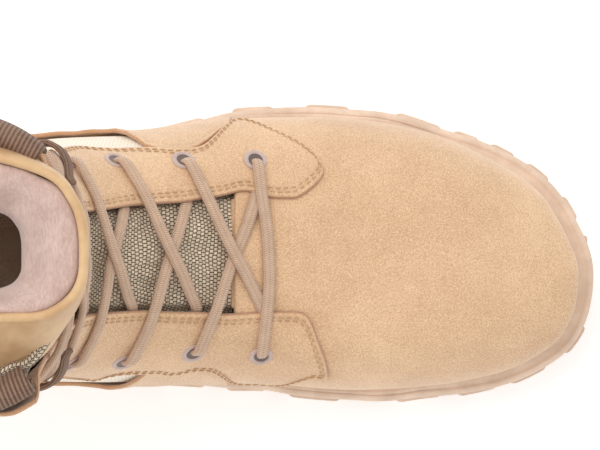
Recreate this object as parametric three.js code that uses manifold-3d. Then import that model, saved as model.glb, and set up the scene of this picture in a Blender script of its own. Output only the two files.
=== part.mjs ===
// Combat boot for the left foot, standing empty on its sole.
// Millimetres. +X points to the toe, +Y to the outer (lateral) side of the foot, +Z up.
// The origin is the middle of the boot's box, on the floor.
//
// The whole upper comes from one function, formGap, which is negative inside the lasted form.
// Rays cast from a spine inside the form find its surface, so the upper, its overlays, the
// tongue and the insole are all cut between offset copies of the same form.
import * as THREE from 'three';
import { LoftGeometry } from 'three/addons/geometries/LoftGeometry.js';
import { mergeVertices } from 'three/addons/utils/BufferGeometryUtils.js';
import Module from 'manifold-3d';

const wasm = await Module();
wasm.setup();

// ---------------------------------------------------------------- driving sizes
const CENTRE_Y = -2;            // centre line of heel and shaft
const GAP = 0.3;                // air between touching pieces
const WALL = 2.4;               // upper: outer leather, padding and lining together
const OVERLAY = 1.6;            // leather overlays on the upper
const TONGUE = 4.0;             // padded tongue
const INSOLE = 4.0;
const COLLAR_FRONT_Z = 223;
const COLLAR_BACK_Z = 227;
const TONGUE_TOP_Z = 238;
const SIDE_RISE = 8;            // upright side wall above the sole, before the form domes over
const HEEL_X = -112;            // centre of the heel's round
const HEEL_RADIUS = 35;
const TOE_X = 60;               // centre that the toe's outline is measured from
const THROAT_RUN = 87;          // where the vamp stops and the throat opens, along the spine
const FOOT_POWER_ACROSS = 2.6;
const FOOT_POWER_UP = 2.0;
const SHAFT_POWER = 2.6;
const BLEND = 16;               // softness of the join of foot and shaft

// Half widths of the upper at its widest line, from the centre line.
const FOOT_WIDTH = [
  { x: -112, lateral: 35.0, medial: 35.0 },
  { x: -85, lateral: 42.5, medial: 42.5 },
  { x: -55, lateral: 47.5, medial: 48.0 },
  { x: -25, lateral: 49.0, medial: 48.5 },
  { x: 0, lateral: 52.2, medial: 47.5 },
  { x: 20, lateral: 54.7, medial: 47.4 },
  { x: 40, lateral: 55.0, medial: 49.8 },
  { x: 60, lateral: 53.8, medial: 51.1 },
  { x: 80, lateral: 50.7, medial: 50.2 },
  { x: 100, lateral: 45.6, medial: 47.5 },
  { x: 125, lateral: 33.4, medial: 39.4 },
];

// How far the wall tucks in towards the sole at the waist, as a share of the half width.
const TUCK = [
  { x: -112, share: 0 },
  { x: -82, share: 0.09 },
  { x: -48, share: 0.13 },
  { x: -14, share: 0.05 },
  { x: 8, share: 0 },
];

// Outline of the toe as a radius about TOE_X on the centre line, 0 degrees straight ahead.
const TOE_ROUND = [
  { angle: -90, radius: 51.1 },
  { angle: -66, radius: 54.6 },
  { angle: -50, radius: 62.0 },
  { angle: -38, radius: 70.7 },
  { angle: -28, radius: 78.6 },
  { angle: -20, radius: 84.0 },
  { angle: -12, radius: 85.6 },
  { angle: -3, radius: 85.0 },
  { angle: 8, radius: 80.2 },
  { angle: 18, radius: 75.7 },
  { angle: 28, radius: 69.4 },
  { angle: 40, radius: 62.2 },
  { angle: 56, radius: 55.6 },
  { angle: 73, radius: 53.8 },
  { angle: 90, radius: 53.8 },
];

// Heights along the boot: ground is the tread's underside, plate the lugs' root, split the
// line between outsole and midsole, top the midsole's upper face, ridge the upper's crest.
const SOLE = [
  { x: -156, ground: 4.0, plate: 9.0, split: 20.5, top: 35.0 },
  { x: -142, ground: 0.0, plate: 5.5, split: 19.5, top: 34.5 },
  { x: -82, ground: 0.0, plate: 5.5, split: 18.5, top: 32.5 },
  { x: -70, ground: 7.5, plate: 12.0, split: 18.0, top: 31.0 },
  { x: -30, ground: 7.5, plate: 12.0, split: 16.5, top: 27.0 },
  { x: -16, ground: 0.0, plate: 5.5, split: 15.0, top: 26.0 },
  { x: 30, ground: 0.0, plate: 5.0, split: 13.0, top: 24.0 },
  { x: 84, ground: 0.0, plate: 5.0, split: 12.5, top: 25.0 },
  { x: 118, ground: 4.0, plate: 8.5, split: 16.0, top: 29.0 },
  { x: 140, ground: 10.0, plate: 14.0, split: 25.0, top: 34.0 },
  { x: 156, ground: 17.0, plate: 21.0, split: 33.0, top: 38.5 },
];

const RIDGE = [
  { x: -112, height: 104 },
  { x: -60, height: 108 },
  { x: -30, height: 101 },
  { x: -14, height: 92 },
  { x: 2, height: 84 },
  { x: 18, height: 77 },
  { x: 36, height: 72.5 },
  { x: 60, height: 70.5 },
  { x: 90, height: 69.5 },
  { x: 115, height: 67.5 },
  { x: 135, height: 64 },
  { x: 152, height: 60 },
];

// Shaft sections by height: front and back along X, sides along Y.
const SHAFT = [
  { z: 40, front: -66, back: -140, lateral: 26, medial: -31 },
  { z: 60, front: -44, back: -143, lateral: 33, medial: -38 },
  { z: 80, front: -33, back: -143, lateral: 40, medial: -45 },
  { z: 100, front: -38, back: -141, lateral: 43.5, medial: -48 },
  { z: 120, front: -42, back: -139, lateral: 44.5, medial: -49 },
  { z: 150, front: -43.5, back: -141, lateral: 45, medial: -49.5 },
  { z: 180, front: -42.5, back: -145, lateral: 45.5, medial: -50 },
  { z: 210, front: -38.5, back: -148, lateral: 46, medial: -50.5 },
  { z: 244, front: -33, back: -149.5, lateral: 47, medial: -51.5 },
];

// The spine that sections are cast from; run is the distance along it from the toe end.
const SPINE = [
  { run: 0, x: 98, z: 45 },
  { run: 38, x: 60, z: 47 },
  { run: 78, x: 20, z: 51 },
  { run: 119, x: -20, z: 61 },
  { run: 163, x: -60, z: 80 },
  { run: 199, x: -84, z: 107 },
  { run: 234, x: -92, z: 141 },
  { run: 284, x: -93, z: 191 },
  { run: 337, x: -93, z: 244 },
];
const SPINE_END = 337;

// Edges of the throat across the boot, by run.
const THROAT = [
  { run: 70, lateral: 23.5, medial: -21.5 },
  { run: 110, lateral: 21, medial: -20 },
  { run: 150, lateral: 17, medial: -20 },
  { run: 190, lateral: 16, medial: -23 },
  { run: 230, lateral: 19, medial: -27 },
  { run: 275, lateral: 26, medial: -34 },
  { run: 340, lateral: 37, medial: -44 },
];

// ---------------------------------------------------------------- small maths
const { clamp, degToRad, lerp, radToDeg, smoothstep } = THREE.MathUtils;

// Reads a column of a table at a place along its key column, on a smooth curve without overshoot.
function read(table, key, column, place) {
  const last = table.length - 1;
  const at = clamp(place, table[0][key], table[last][key]);
  let i = 0;
  while (i < last - 1 && at > table[i + 1][key]) i += 1;
  const rise = (k) => (table[k + 1][column] - table[k][column]) / (table[k + 1][key] - table[k][key]);
  const slope = (k) => {
    const before = rise(Math.max(k - 1, 0));
    const after = rise(Math.min(k, last - 1));
    return before * after <= 0 ? 0 : (2 * before * after) / (before + after);
  };
  const width = table[i + 1][key] - table[i][key];
  const t = (at - table[i][key]) / width;
  const rest = 1 - t;
  return (
    table[i][column] * rest * rest * (1 + 2 * t) +
    table[i + 1][column] * t * t * (1 + 2 * rest) +
    slope(i) * width * t * rest * rest -
    slope(i + 1) * width * rest * t * t
  );
}

const soleHeight = (column, x) => read(SOLE, 'x', column, x);

function softMin(a, b, softness) {
  const share = Math.max(softness - Math.abs(a - b), 0) / softness;
  return Math.min(a, b) - (share * share * softness) / 4;
}

// ---------------------------------------------------------------- the lasted form
// 0 on the centre line of the footprint, 1 on its outline.
function planRatio(x, y, z) {
  const dy = y - CENTRE_Y;
  if (x < HEEL_X) return Math.hypot(x - HEEL_X, dy) / HEEL_RADIUS;
  const top = soleHeight('top', x);
  const tuck = read(TUCK, 'x', 'share', x) * (1 - smoothstep(z, top - 4, top + 26));
  const across = Math.abs(dy) / (read(FOOT_WIDTH, 'x', dy > 0 ? 'lateral' : 'medial', x) * (1 - tuck));
  const dx = x - TOE_X;
  if (dx <= 0) return across;
  const angle = radToDeg(Math.atan2(dy, dx));
  const round = Math.hypot(dx, dy) / read(TOE_ROUND, 'angle', 'radius', angle);
  return lerp(across, round, smoothstep(x, 75, 120));
}

function footGap(x, y, z) {
  const springLine = soleHeight('top', x) + SIDE_RISE;
  const rise = Math.max(0, z - springLine) / (read(RIDGE, 'x', 'height', x) - springLine);
  const total = planRatio(x, y, z) ** FOOT_POWER_ACROSS + rise ** FOOT_POWER_UP;
  return (total ** (1 / FOOT_POWER_ACROSS) - 1) * 42;
}

function shaftGap(x, y, z) {
  const front = read(SHAFT, 'z', 'front', z);
  const back = read(SHAFT, 'z', 'back', z);
  const along = Math.abs(x - (front + back) / 2) / ((front - back) / 2);
  const dy = y - CENTRE_Y;
  const side = read(SHAFT, 'z', dy > 0 ? 'lateral' : 'medial', z) - CENTRE_Y;
  const total = along ** SHAFT_POWER + Math.abs(dy / side) ** SHAFT_POWER;
  return (total ** (1 / SHAFT_POWER) - 1) * 46;
}

// Below 0 inside the form, roughly the distance to its surface in millimetres.
function formGap(p) {
  const body = softMin(footGap(p.x, p.y, p.z), shaftGap(p.x, p.y, p.z), BLEND);
  return Math.max(body, soleHeight('top', p.x) - 16 - p.z);
}

function formNormal(p) {
  const step = 0.8;
  const normal = new THREE.Vector3();
  for (const axis of ['x', 'y', 'z']) {
    const ahead = p.clone();
    const behind = p.clone();
    ahead[axis] += step;
    behind[axis] -= step;
    normal[axis] = formGap(ahead) - formGap(behind);
  }
  return normal.normalize();
}

function cast(origin, direction) {
  let far = 4;
  const at = (distance) => origin.clone().addScaledVector(direction, distance);
  while (formGap(at(far)) < 0 && far < 200) far += 4;
  let near = far - 4;
  for (let i = 0; i < 20; i += 1) {
    const middle = (near + far) / 2;
    if (formGap(at(middle)) < 0) near = middle;
    else far = middle;
  }
  return at(far);
}

const ACROSS = new THREE.Vector3(0, 1, 0);

function spineFrame(run) {
  const at = (r) => new THREE.Vector3(read(SPINE, 'run', 'x', r), CENTRE_Y, read(SPINE, 'run', 'z', r));
  const centre = at(run);
  const behind = at(Math.min(run + 1, SPINE_END));
  const ahead = at(Math.max(run - 1, 0));
  const forward = ahead.sub(behind).normalize();
  const up = new THREE.Vector3().crossVectors(forward, ACROSS);
  return { centre, forward, up };
}

// Surface point at a run along the spine; angle 0 is the crest, +90 lateral, 180 the sole or heel.
// Negative runs fan round the toe, down to the tip at -TOE_FAN.
const TOE_FAN = 90;
function onForm(run, angle, offset = 0) {
  const { centre, forward, up } = spineFrame(Math.max(run, 0));
  const turn = degToRad(angle);
  const direction = up.clone().multiplyScalar(Math.cos(turn)).addScaledVector(ACROSS, Math.sin(turn));
  if (run < 0) {
    const fan = degToRad(-run);
    direction.multiplyScalar(Math.cos(fan)).addScaledVector(forward, Math.sin(fan));
  }
  const point = cast(centre, direction);
  return point.addScaledVector(formNormal(point), offset);
}

// The angle at which the section at a run reaches a given place across the boot.
function angleAt(run, y) {
  let low = 0;
  let high = y > CENTRE_Y ? 110 : -110;
  for (let i = 0; i < 16; i += 1) {
    const middle = (low + high) / 2;
    const reached = Math.abs(onForm(run, middle).y - CENTRE_Y);
    if (reached < Math.abs(y - CENTRE_Y)) low = middle;
    else high = middle;
  }
  return (low + high) / 2;
}

// ---------------------------------------------------------------- solids
function asSolid(geometry) {
  const plain = new THREE.BufferGeometry();
  plain.setAttribute('position', geometry.getAttribute('position'));
  plain.setIndex(geometry.getIndex());
  const merged = mergeVertices(plain, 1e-3);
  const kept = [];
  const index = merged.index.array;
  for (let i = 0; i < index.length; i += 3) {
    const [a, b, c] = index.slice(i, i + 3);
    if (a !== b && b !== c && c !== a) kept.push(a, b, c);
  }
  return new wasm.Manifold(new wasm.Mesh({
    numProp: 3,
    vertProperties: new Float32Array(merged.attributes.position.array),
    triVerts: new Uint32Array(kept),
  }));
}

function asGeometry(body) {
  const mesh = body.getMesh();
  const geometry = new THREE.BufferGeometry();
  geometry.setAttribute('position', new THREE.BufferAttribute(mesh.vertProperties.slice(), 3));
  geometry.setIndex(new THREE.BufferAttribute(mesh.triVerts.slice(), 1));
  return geometry;
}

// A closed loft. The sections are turned round where needed, so that the faces point outwards.
function loft(sections, capStart = true) {
  const i = Math.floor(sections.length / 2);
  const section = sections[i];
  const ahead = section[0].clone().sub(sections[i - 1][0]);
  const facing = new THREE.Vector3();
  for (let k = 1; k < section.length - 1; k += 1) {
    facing.add(section[k].clone().sub(section[0]).cross(section[k + 1].clone().sub(section[0])));
  }
  const ordered = facing.dot(ahead) > 0 ? sections : sections.map((points) => points.slice().reverse());
  return asSolid(new LoftGeometry(ordered, { capStart, capEnd: true }));
}

// A wall through the whole boot, from an outline in side view (x, z).
function sidePrism(outline, from = -100, to = 100) {
  const shape = new THREE.Shape(outline.map(([x, z]) => new THREE.Vector2(x, z)));
  const geometry = new THREE.ExtrudeGeometry(shape, { depth: to - from, bevelEnabled: false });
  geometry.rotateX(Math.PI / 2);
  geometry.translate(0, to, 0);
  return asSolid(geometry);
}

// The same from an outline in plan (x, y).
function planPrism(outline, from = -50, to = 300) {
  const shape = new THREE.Shape(outline.map(([x, y]) => new THREE.Vector2(x, y)));
  const geometry = new THREE.ExtrudeGeometry(shape, { depth: to - from, bevelEnabled: false });
  geometry.translate(0, 0, from);
  return asSolid(geometry);
}

// Everything between two of the sole's heights.
function between(lower, upper) {
  const stops = Array.from({ length: 31 }, (_, i) => -165 + i * 11);
  const under = stops.map((x) => [x, lower(x)]);
  const over = stops.map((x) => [x, upper(x)]).reverse();
  return sidePrism([...under, ...over]);
}

const TURNS = [0, 15, 30, 45, 59, 72, 84, 95, 106, 118, 132, 148, 164];
const AROUND = [...TURNS, 180, ...TURNS.slice(1).reverse().map((turn) => -turn)];
const TOE_RUNS = [-89.9, -72, -54, -36, -18];
const BODY_RUNS = [0, 18, 36, 54, 70, 84, 98, 112, 126, 140, 154, 168, 182, 198, 216, 240, 270, 304, 337];

const formGrid = [...TOE_RUNS, ...BODY_RUNS].map((run) =>
  AROUND.map((angle) => {
    const point = onForm(run, angle);
    return { point, normal: formNormal(point) };
  }),
);

// Cuts through facets that nearly touch leave slivers behind: the piece itself is the largest part.
function largest(body) {
  return body.decompose().reduce((best, part) => (part.volume() > best.volume() ? part : best));
}

// The whole form grown by an offset, closed at the top of the shaft.
function form(offset) {
  return loft(formGrid.map((row) => {
    const ring = row.map(({ point, normal }) => point.clone().addScaledVector(normal, offset));
    if (row !== formGrid[0]) return ring;
    const tip = ring.reduce((sum, p) => sum.add(p), new THREE.Vector3()).divideScalar(ring.length);
    return ring.map(() => tip.clone());
  }), false);
}

const WEDGE_FROM = 4;
const WEDGE_TO = 72;

// A wedge from the spine out past the surface, between two places across the boot.
function wedge(startRun, lateralAt, medialAt, endRun = SPINE_END + 1) {
  const steps = 14;
  const sections = [];
  for (let i = 0; i <= steps; i += 1) {
    const run = lerp(startRun, endRun, i / steps);
    const { centre, up } = spineFrame(Math.min(run, SPINE_END));
    const corner = (y, height) => centre.clone().addScaledVector(up, height).setY(y);
    sections.push([
      corner(lateralAt(run), WEDGE_FROM),
      corner(lateralAt(run), WEDGE_TO),
      corner(medialAt(run), WEDGE_TO),
      corner(medialAt(run), WEDGE_FROM),
    ]);
  }
  return loft(sections);
}

const throatEdge = (side, run) => read(THROAT, 'run', side, run);

// ---------------------------------------------------------------- outlines in plan
// Points round the footprint, grown outwards by an offset that may vary along the boot.
function footprint(offset) {
  const points = [];
  const add = (x, y) => points.push(new THREE.Vector2(x, y));
  for (let angle = -90; angle < 90; angle += 10) {
    const radius = read(TOE_ROUND, 'angle', 'radius', angle);
    add(TOE_X + radius * Math.cos(degToRad(angle)), CENTRE_Y + radius * Math.sin(degToRad(angle)));
  }
  const half = (side, x) => read(FOOT_WIDTH, 'x', side, x) * (1 - read(TUCK, 'x', 'share', x));
  for (let x = TOE_X; x > HEEL_X; x -= 15) add(x, CENTRE_Y + half('lateral', x));
  for (let angle = 90; angle < 270; angle += 18) {
    const turn = degToRad(angle);
    add(HEEL_X + HEEL_RADIUS * Math.cos(turn), CENTRE_Y + HEEL_RADIUS * Math.sin(turn));
  }
  for (let x = HEEL_X; x < TOE_X - 5; x += 15) add(x, CENTRE_Y - half('medial', x));
  return points.map((point, i) => {
    const next = points[(i + 1) % points.length];
    const before = points[(i + points.length - 1) % points.length];
    const outward = new THREE.Vector2(next.y - before.y, before.x - next.x).normalize();
    return point.clone().addScaledVector(outward, offset(point.x));
  });
}

// A band round the footprint: each level is a height above the midsole's top and an outset.
function band(levels) {
  return loft(levels.map(({ height, outset }) =>
    footprint((x) => outset(x)).map((p) => new THREE.Vector3(p.x, p.y, soleHeight('top', p.x) + height)),
  ));
}

const edgeOutset = (x) => 3.2 + 1.2 * smoothstep(-x, 80, 120) + 1.2 * smoothstep(x, 0, 40)
  + 2.6 * smoothstep(x, 60, 148);

// ---------------------------------------------------------------- pieces
const pieces = [];
const ring = new THREE.Group();
const SUEDE = { color: 0xd9b98f, roughness: 0.95, metalness: 0 };
const RUBBER = { color: 0xc9a888, roughness: 0.8, metalness: 0 };
const PAINTED = { color: 0xc49a83, roughness: 0.5, metalness: 0.3 };
const CORD = { color: 0xcda68a, roughness: 0.9, metalness: 0 };
const WEBBING = { color: 0x8c7562, roughness: 0.9, metalness: 0 };
const CLOTH = { color: 0xb89a78, roughness: 0.95, metalness: 0 };

function addPiece(name, geometry, finish) {
  const mesh = new THREE.Mesh(geometry, new THREE.MeshStandardMaterial(finish));
  mesh.name = name;
  pieces.push(mesh);
  ring.add(mesh);
  return mesh;
}

// Eyelets sit one pitch apart along each facing, a margin back from its throat edge.
const EYELET_PITCH = 27;
const EYELET_MARGIN = {
  lateral: [12.5, 15, 20, 21, 18, 16, 15],
  medial: [18, 18, 23, 22, 18, 17, 16],
};
const EYELET_FIRST_RUN = { lateral: 80, medial: 77 };
const EYELET_ROWS = 7;
const LOOP_ROW = 4;              // the fifth row holds a webbing loop instead of an eyelet

function facingPlace(side, run, row) {
  const sign = side === 'lateral' ? 1 : -1;
  const edge = throatEdge(side, run);
  const edgeAngle = angleAt(run, edge);
  const spread = onForm(run, edgeAngle);
  let angle = edgeAngle;
  while (onForm(run, angle).distanceTo(spread) < EYELET_MARGIN[side][row]) angle += sign * 0.5;
  return { run, angle, edgeAngle, point: onForm(run, angle) };
}

function eyeletRow(side) {
  const places = [facingPlace(side, EYELET_FIRST_RUN[side], 0)];
  while (places.length < EYELET_ROWS) {
    const last = places[places.length - 1];
    let run = last.run + 8;
    let place = facingPlace(side, run, places.length);
    while (place.point.distanceTo(last.point) < EYELET_PITCH) {
      run += 1;
      place = facingPlace(side, run, places.length);
    }
    places.push(place);
  }
  return places;
}

const eyelets = { lateral: eyeletRow('lateral'), medial: eyeletRow('medial') };

const HOLE_RADIUS = 3.3;
function holeAt(place) {
  const cylinder = new THREE.CylinderGeometry(HOLE_RADIUS, HOLE_RADIUS, 16, 8);
  cylinder.rotateX(Math.PI / 2);
  return asSolid(placed(cylinder, place));
}

// Turns a geometry so that its +Z stands on the form at a place, and its +X runs forwards.
function placed(geometry, place, offset = 0) {
  const normal = formNormal(place.point);
  const { forward } = spineFrame(place.run);
  const side = new THREE.Vector3().crossVectors(normal, forward).normalize();
  const along = new THREE.Vector3().crossVectors(side, normal);
  const at = place.point.clone().addScaledVector(normal, offset);
  return geometry.clone().applyMatrix4(new THREE.Matrix4().makeBasis(along, side, normal).setPosition(at));
}

const holePlaces = Object.values(eyelets).flatMap((row) => row.filter((_, i) => i !== LOOP_ROW));
const holes = holePlaces.map(holeAt);
const cutAll = (body, cutters) => cutters.reduce((left, cutter) => left.subtract(cutter), body);

const throat = wedge(THROAT_RUN, (run) => throatEdge('lateral', run), (run) => throatEdge('medial', run));
const aboveCollar = sidePrism([[-200, COLLAR_BACK_Z], [0, COLLAR_FRONT_Z - 3], [0, 320], [-200, 320]]);
const belowSole = between(() => -80, (x) => soleHeight('top', x) + GAP);
const outerForm = form(0);

function makeUpper() {
  const shell = outerForm.subtract(form(-WALL));
  return largest(cutAll(shell, [belowSole, throat, aboveCollar, ...holes]));
}

function makeTongue() {
  const outer = form(-WALL - 0.5);
  const sheet = outer.subtract(form(-WALL - 0.5 - TONGUE));
  const reach = wedge(
    THROAT_RUN - 12,
    (run) => throatEdge('lateral', run) + 11,
    (run) => throatEdge('medial', run) - 8,
  );
  const aboveTongue = sidePrism([
    [-200, TONGUE_TOP_Z - 20], [-60, TONGUE_TOP_Z - 4], [0, TONGUE_TOP_Z], [0, 320], [-200, 320],
  ]);
  return sheet.intersect(reach).subtract(aboveTongue);
}

const overlayShell = form(GAP + OVERLAY).subtract(form(GAP));

// Eyestay outlines. plan bounds the rounded front end; side is the lower edge in side view.
const EYESTAY = {
  lateral: {
    plan: [
      [14, 23], [30, 23.5], [42, 25], [45, 31], [43.5, 37], [36, 43.5], [24, 49], [12, 54],
      [2, 62], [-170, 62], [-170, 2], [14, 2],
    ],
    lower: [
      [60, 28], [18, 38], [8, 44], [0, 62], [-10, 69], [-26, 75], [-48, 92], [-66, 118],
      [-79, 156], [-84, 240], [60, 240],
    ],
  },
  medial: {
    plan: [
      [14, -21], [30, -21.5], [42, -26], [49, -37], [43, -43], [34, -47], [20, -51.5], [8, -55],
      [0, -62], [-170, -62], [-170, -2], [14, -2],
    ],
    lower: [
      [60, 28], [18, 36], [9, 42], [0, 58], [-12, 64], [-26, 72], [-46, 92], [-66, 118],
      [-80, 152], [-86, 240], [60, 240],
    ],
  },
};

function makeEyestay(side) {
  const cut = EYESTAY[side];
  const strip = overlayShell.intersect(planPrism(cut.plan)).intersect(sidePrism(cut.lower));
  return largest(cutAll(strip, [belowSole, throat, aboveCollar, ...holes]));
}

function makeHeelCounter() {
  const outline = [[-170, 20], [-66, 20], [-60, 44], [-74, 66], [-98, 84], [-124, 94], [-170, 98]];
  return overlayShell.intersect(sidePrism(outline)).subtract(belowSole);
}

function makeInsole() {
  return form(-WALL - 0.6).intersect(between(
    (x) => soleHeight('top', x) + GAP,
    (x) => soleHeight('top', x) + GAP + INSOLE,
  ));
}

function makeMidsole() {
  const body = band([
    { height: -60, outset: (x) => edgeOutset(x) - 0.6 },
    { height: -9, outset: (x) => edgeOutset(x) - 0.6 },
    { height: -5, outset: edgeOutset },
    { height: -2, outset: (x) => edgeOutset(x) - 1.0 },
    { height: 0, outset: () => 1.6 },
    { height: 30, outset: () => 1.6 },
  ]);
  return body.intersect(between((x) => soleHeight('split', x) + GAP / 2, (x) => soleHeight('top', x)));
}

// Lugs along each edge: middle and length along X, reach in from the edge, slant in degrees.
const EDGE_LUGS = {
  lateral: [
    { x: -138, length: 17, reach: 26, slant: -24 },
    { x: -116, length: 15, reach: 24, slant: -8 },
    { x: -93, length: 17, reach: 26, slant: 8 },
    { x: -8, length: 15, reach: 26, slant: 8 },
    { x: 20, length: 15, reach: 30, slant: 6 },
    { x: 49, length: 16, reach: 32, slant: -4 },
    { x: 83.5, length: 17, reach: 30, slant: -12 },
    { x: 104, length: 9, reach: 26, slant: -24 },
    { x: 118, length: 9, reach: 24, slant: -36 },
    { x: 132, length: 9, reach: 22, slant: -48 },
  ],
  medial: [
    { x: -138, length: 17, reach: 26, slant: 24 },
    { x: -116, length: 15, reach: 24, slant: 8 },
    { x: -93, length: 17, reach: 26, slant: -8 },
    { x: -8, length: 15, reach: 26, slant: -8 },
    { x: 17, length: 15, reach: 28, slant: -6 },
    { x: 43.5, length: 19, reach: 30, slant: 2 },
    { x: 83.5, length: 17, reach: 28, slant: 8 },
    { x: 106, length: 14, reach: 24, slant: 20 },
    { x: 125, length: 12, reach: 22, slant: 34 },
    { x: 139, length: 7, reach: 20, slant: 50 },
  ],
};
const CENTRE_LUGS = [-118, -98, 2, 28, 54, 80, 104];

function lugBlock(x, y, length, width, slant) {
  const block = new THREE.BoxGeometry(length, width, 80);
  block.rotateZ(degToRad(slant));
  block.translate(x, y, 0);
  return asSolid(block);
}

function makeOutsole() {
  const lugOutset = (x) => edgeOutset(x) + 1.3;
  const plate = band([{ height: -60, outset: edgeOutset }, { height: 30, outset: edgeOutset }])
    .intersect(between((x) => soleHeight('plate', x), (x) => soleHeight('split', x) - GAP / 2));
  const tread = band([{ height: -60, outset: lugOutset }, { height: 30, outset: lugOutset }])
    .intersect(between((x) => soleHeight('ground', x), (x) => soleHeight('split', x) - 1.2));
  const blocks = [];
  for (const [side, lugs] of Object.entries(EDGE_LUGS)) {
    const sign = side === 'lateral' ? 1 : -1;
    for (const lug of lugs) {
      const half = lug.x > HEEL_X ? read(FOOT_WIDTH, 'x', side, lug.x) : HEEL_RADIUS;
      const y = CENTRE_Y + sign * (half - lug.reach / 2 + 12);
      blocks.push(lugBlock(lug.x, y, lug.length, lug.reach + 34, lug.slant));
    }
  }
  for (const x of CENTRE_LUGS) {
    blocks.push(lugBlock(x, CENTRE_Y + 7, 13, 17, 28));
    blocks.push(lugBlock(x, CENTRE_Y - 7, 13, 17, -28));
  }
  blocks.push(lugBlock(150, CENTRE_Y - 8, 22, 36, 0));
  blocks.push(lugBlock(-150, CENTRE_Y, 16, 30, 0));
  const joined = blocks.reduce((sum, block) => sum.add(block));
  return plate.add(tread.intersect(joined));
}

const EYELET = { hole: 2.3, barrel: 2.9, flange: 5.0, lift: 0.7, thickness: 1.1 };
function eyeletGeometry() {
  const { hole, barrel, flange, thickness } = EYELET;
  const profile = [
    [hole, -2.2], [barrel, -2.2], [barrel, 0], [flange, 0],
    [flange - 0.6, thickness], [hole + 0.4, thickness], [hole, -2.2],
  ].map(([radius, height]) => new THREE.Vector2(radius, height));
  const geometry = new THREE.LatheGeometry(profile, 8);
  geometry.rotateX(Math.PI / 2);
  return geometry;
}

// A ribbon of flat-oval section through points, each with its own up direction.
function ribbon(points, ups, width, thickness) {
  const corners = 6;
  return loft(points.map((point, i) => {
    const next = points[Math.min(i + 1, points.length - 1)];
    const before = points[Math.max(i - 1, 0)];
    const along = next.clone().sub(before).normalize();
    const side = new THREE.Vector3().crossVectors(ups[i], along).normalize();
    const up = new THREE.Vector3().crossVectors(along, side);
    return Array.from({ length: corners }, (_, k) => {
      const turn = ((k + 0.5) * 2 * Math.PI) / corners;
      return point.clone()
        .addScaledVector(side, (Math.cos(turn) * width) / 2)
        .addScaledVector(up, (Math.sin(turn) * thickness) / 2);
    });
  }));
}

const LACE = { width: 4.6, thickness: 2.4 };
const LACE_OVER = 6.3;           // centre of the lace over an eyelet, above the form
const LACE_UNDER = -0.3;         // and where it dives under a facing

function strand(start, end) {
  const steps = 6;
  const points = [];
  const ups = [];
  for (let i = 0; i <= steps; i += 1) {
    const t = i / steps;
    const run = lerp(start.run, end.run, t);
    const angle = lerp(start.angle, end.angle, t);
    const base = onForm(run, angle);
    ups.push(formNormal(base));
    points.push(base.addScaledVector(ups[i], lerp(start.offset, end.offset, t)));
  }
  return ribbon(points, ups, LACE.width, LACE.thickness);
}

const over = (place) => ({ run: place.run, angle: place.angle, offset: LACE_OVER });
// At the webbing loops a strand stops on the facing, just short of the loop.
const beside = (place) => ({
  run: place.run,
  angle: lerp(place.edgeAngle, place.angle, 0.3),
  offset: LACE_OVER - 1,
});
// Where a strand comes up from under a facing, part of the way from one row to the next.
function under(side, from, to) {
  const run = lerp(from.run, to.run, 0.5);
  const inset = side === 'lateral' ? -4.5 : 4.5;
  return { run, angle: angleAt(run, throatEdge(side, run) + inset), offset: LACE_UNDER };
}

function makeLaceBar() {
  return strand(over(eyelets.lateral[0]), over(eyelets.medial[0]));
}

function makeCrossing(row) {
  const { lateral, medial } = eyelets;
  const end = row === LOOP_ROW ? beside : over;
  const toMedial = strand(under('lateral', lateral[row - 1], lateral[row]), end(medial[row]));
  const toLateral = strand(under('medial', medial[row - 1], medial[row]), end(lateral[row]));
  return toMedial.add(toLateral);
}

// A webbing loop standing on the facing as a low arch, open along the boot's facing.
function loopGeometry() {
  const outer = new THREE.Shape();
  outer.moveTo(-10, 0);
  outer.bezierCurveTo(-8, 9, 8, 9, 10, 0);
  outer.lineTo(8, 0);
  outer.bezierCurveTo(6, 7, -6, 7, -8, 0);
  outer.closePath();
  const geometry = new THREE.ExtrudeGeometry(outer, { depth: 9, bevelEnabled: false, curveSegments: 7 });
  geometry.translate(0, 0, -4.5);
  geometry.rotateX(Math.PI / 2);
  geometry.rotateZ(Math.PI / 2);
  return geometry;
}

addPiece('outsole', asGeometry(makeOutsole()), RUBBER);
addPiece('midsole', asGeometry(makeMidsole()), RUBBER);
addPiece('insole', asGeometry(makeInsole()), CLOTH);
addPiece('upper', asGeometry(makeUpper()), SUEDE);
addPiece('tongue', asGeometry(makeTongue()), CLOTH);
addPiece('heel_counter', asGeometry(makeHeelCounter()), SUEDE);
for (const side of ['lateral', 'medial']) {
  addPiece(`eyestay_${side}`, asGeometry(makeEyestay(side)), SUEDE);
  eyelets[side].forEach((place, i) => {
    if (i === LOOP_ROW) {
      addPiece(`lace_loop_${side}`, placed(loopGeometry(), place, GAP + OVERLAY + 0.6), WEBBING);
    } else {
      const lift = GAP + OVERLAY + EYELET.lift;
      addPiece(`eyelet_${side}_${i + 1}`, placed(eyeletGeometry(), place, lift), PAINTED);
    }
  });
}
addPiece('lace_bar', asGeometry(makeLaceBar()), CORD);
for (let row = 1; row < EYELET_ROWS; row += 1) {
  addPiece(`lace_crossing_${row}`, asGeometry(makeCrossing(row)), CORD);
}

// The origin is the middle of the whole boot's box, on the floor.
const box = new THREE.Box3().setFromObject(ring);
const middle = box.getCenter(new THREE.Vector3());
ring.position.set(-middle.x, -middle.y, -box.min.z);

export default ring;
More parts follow.
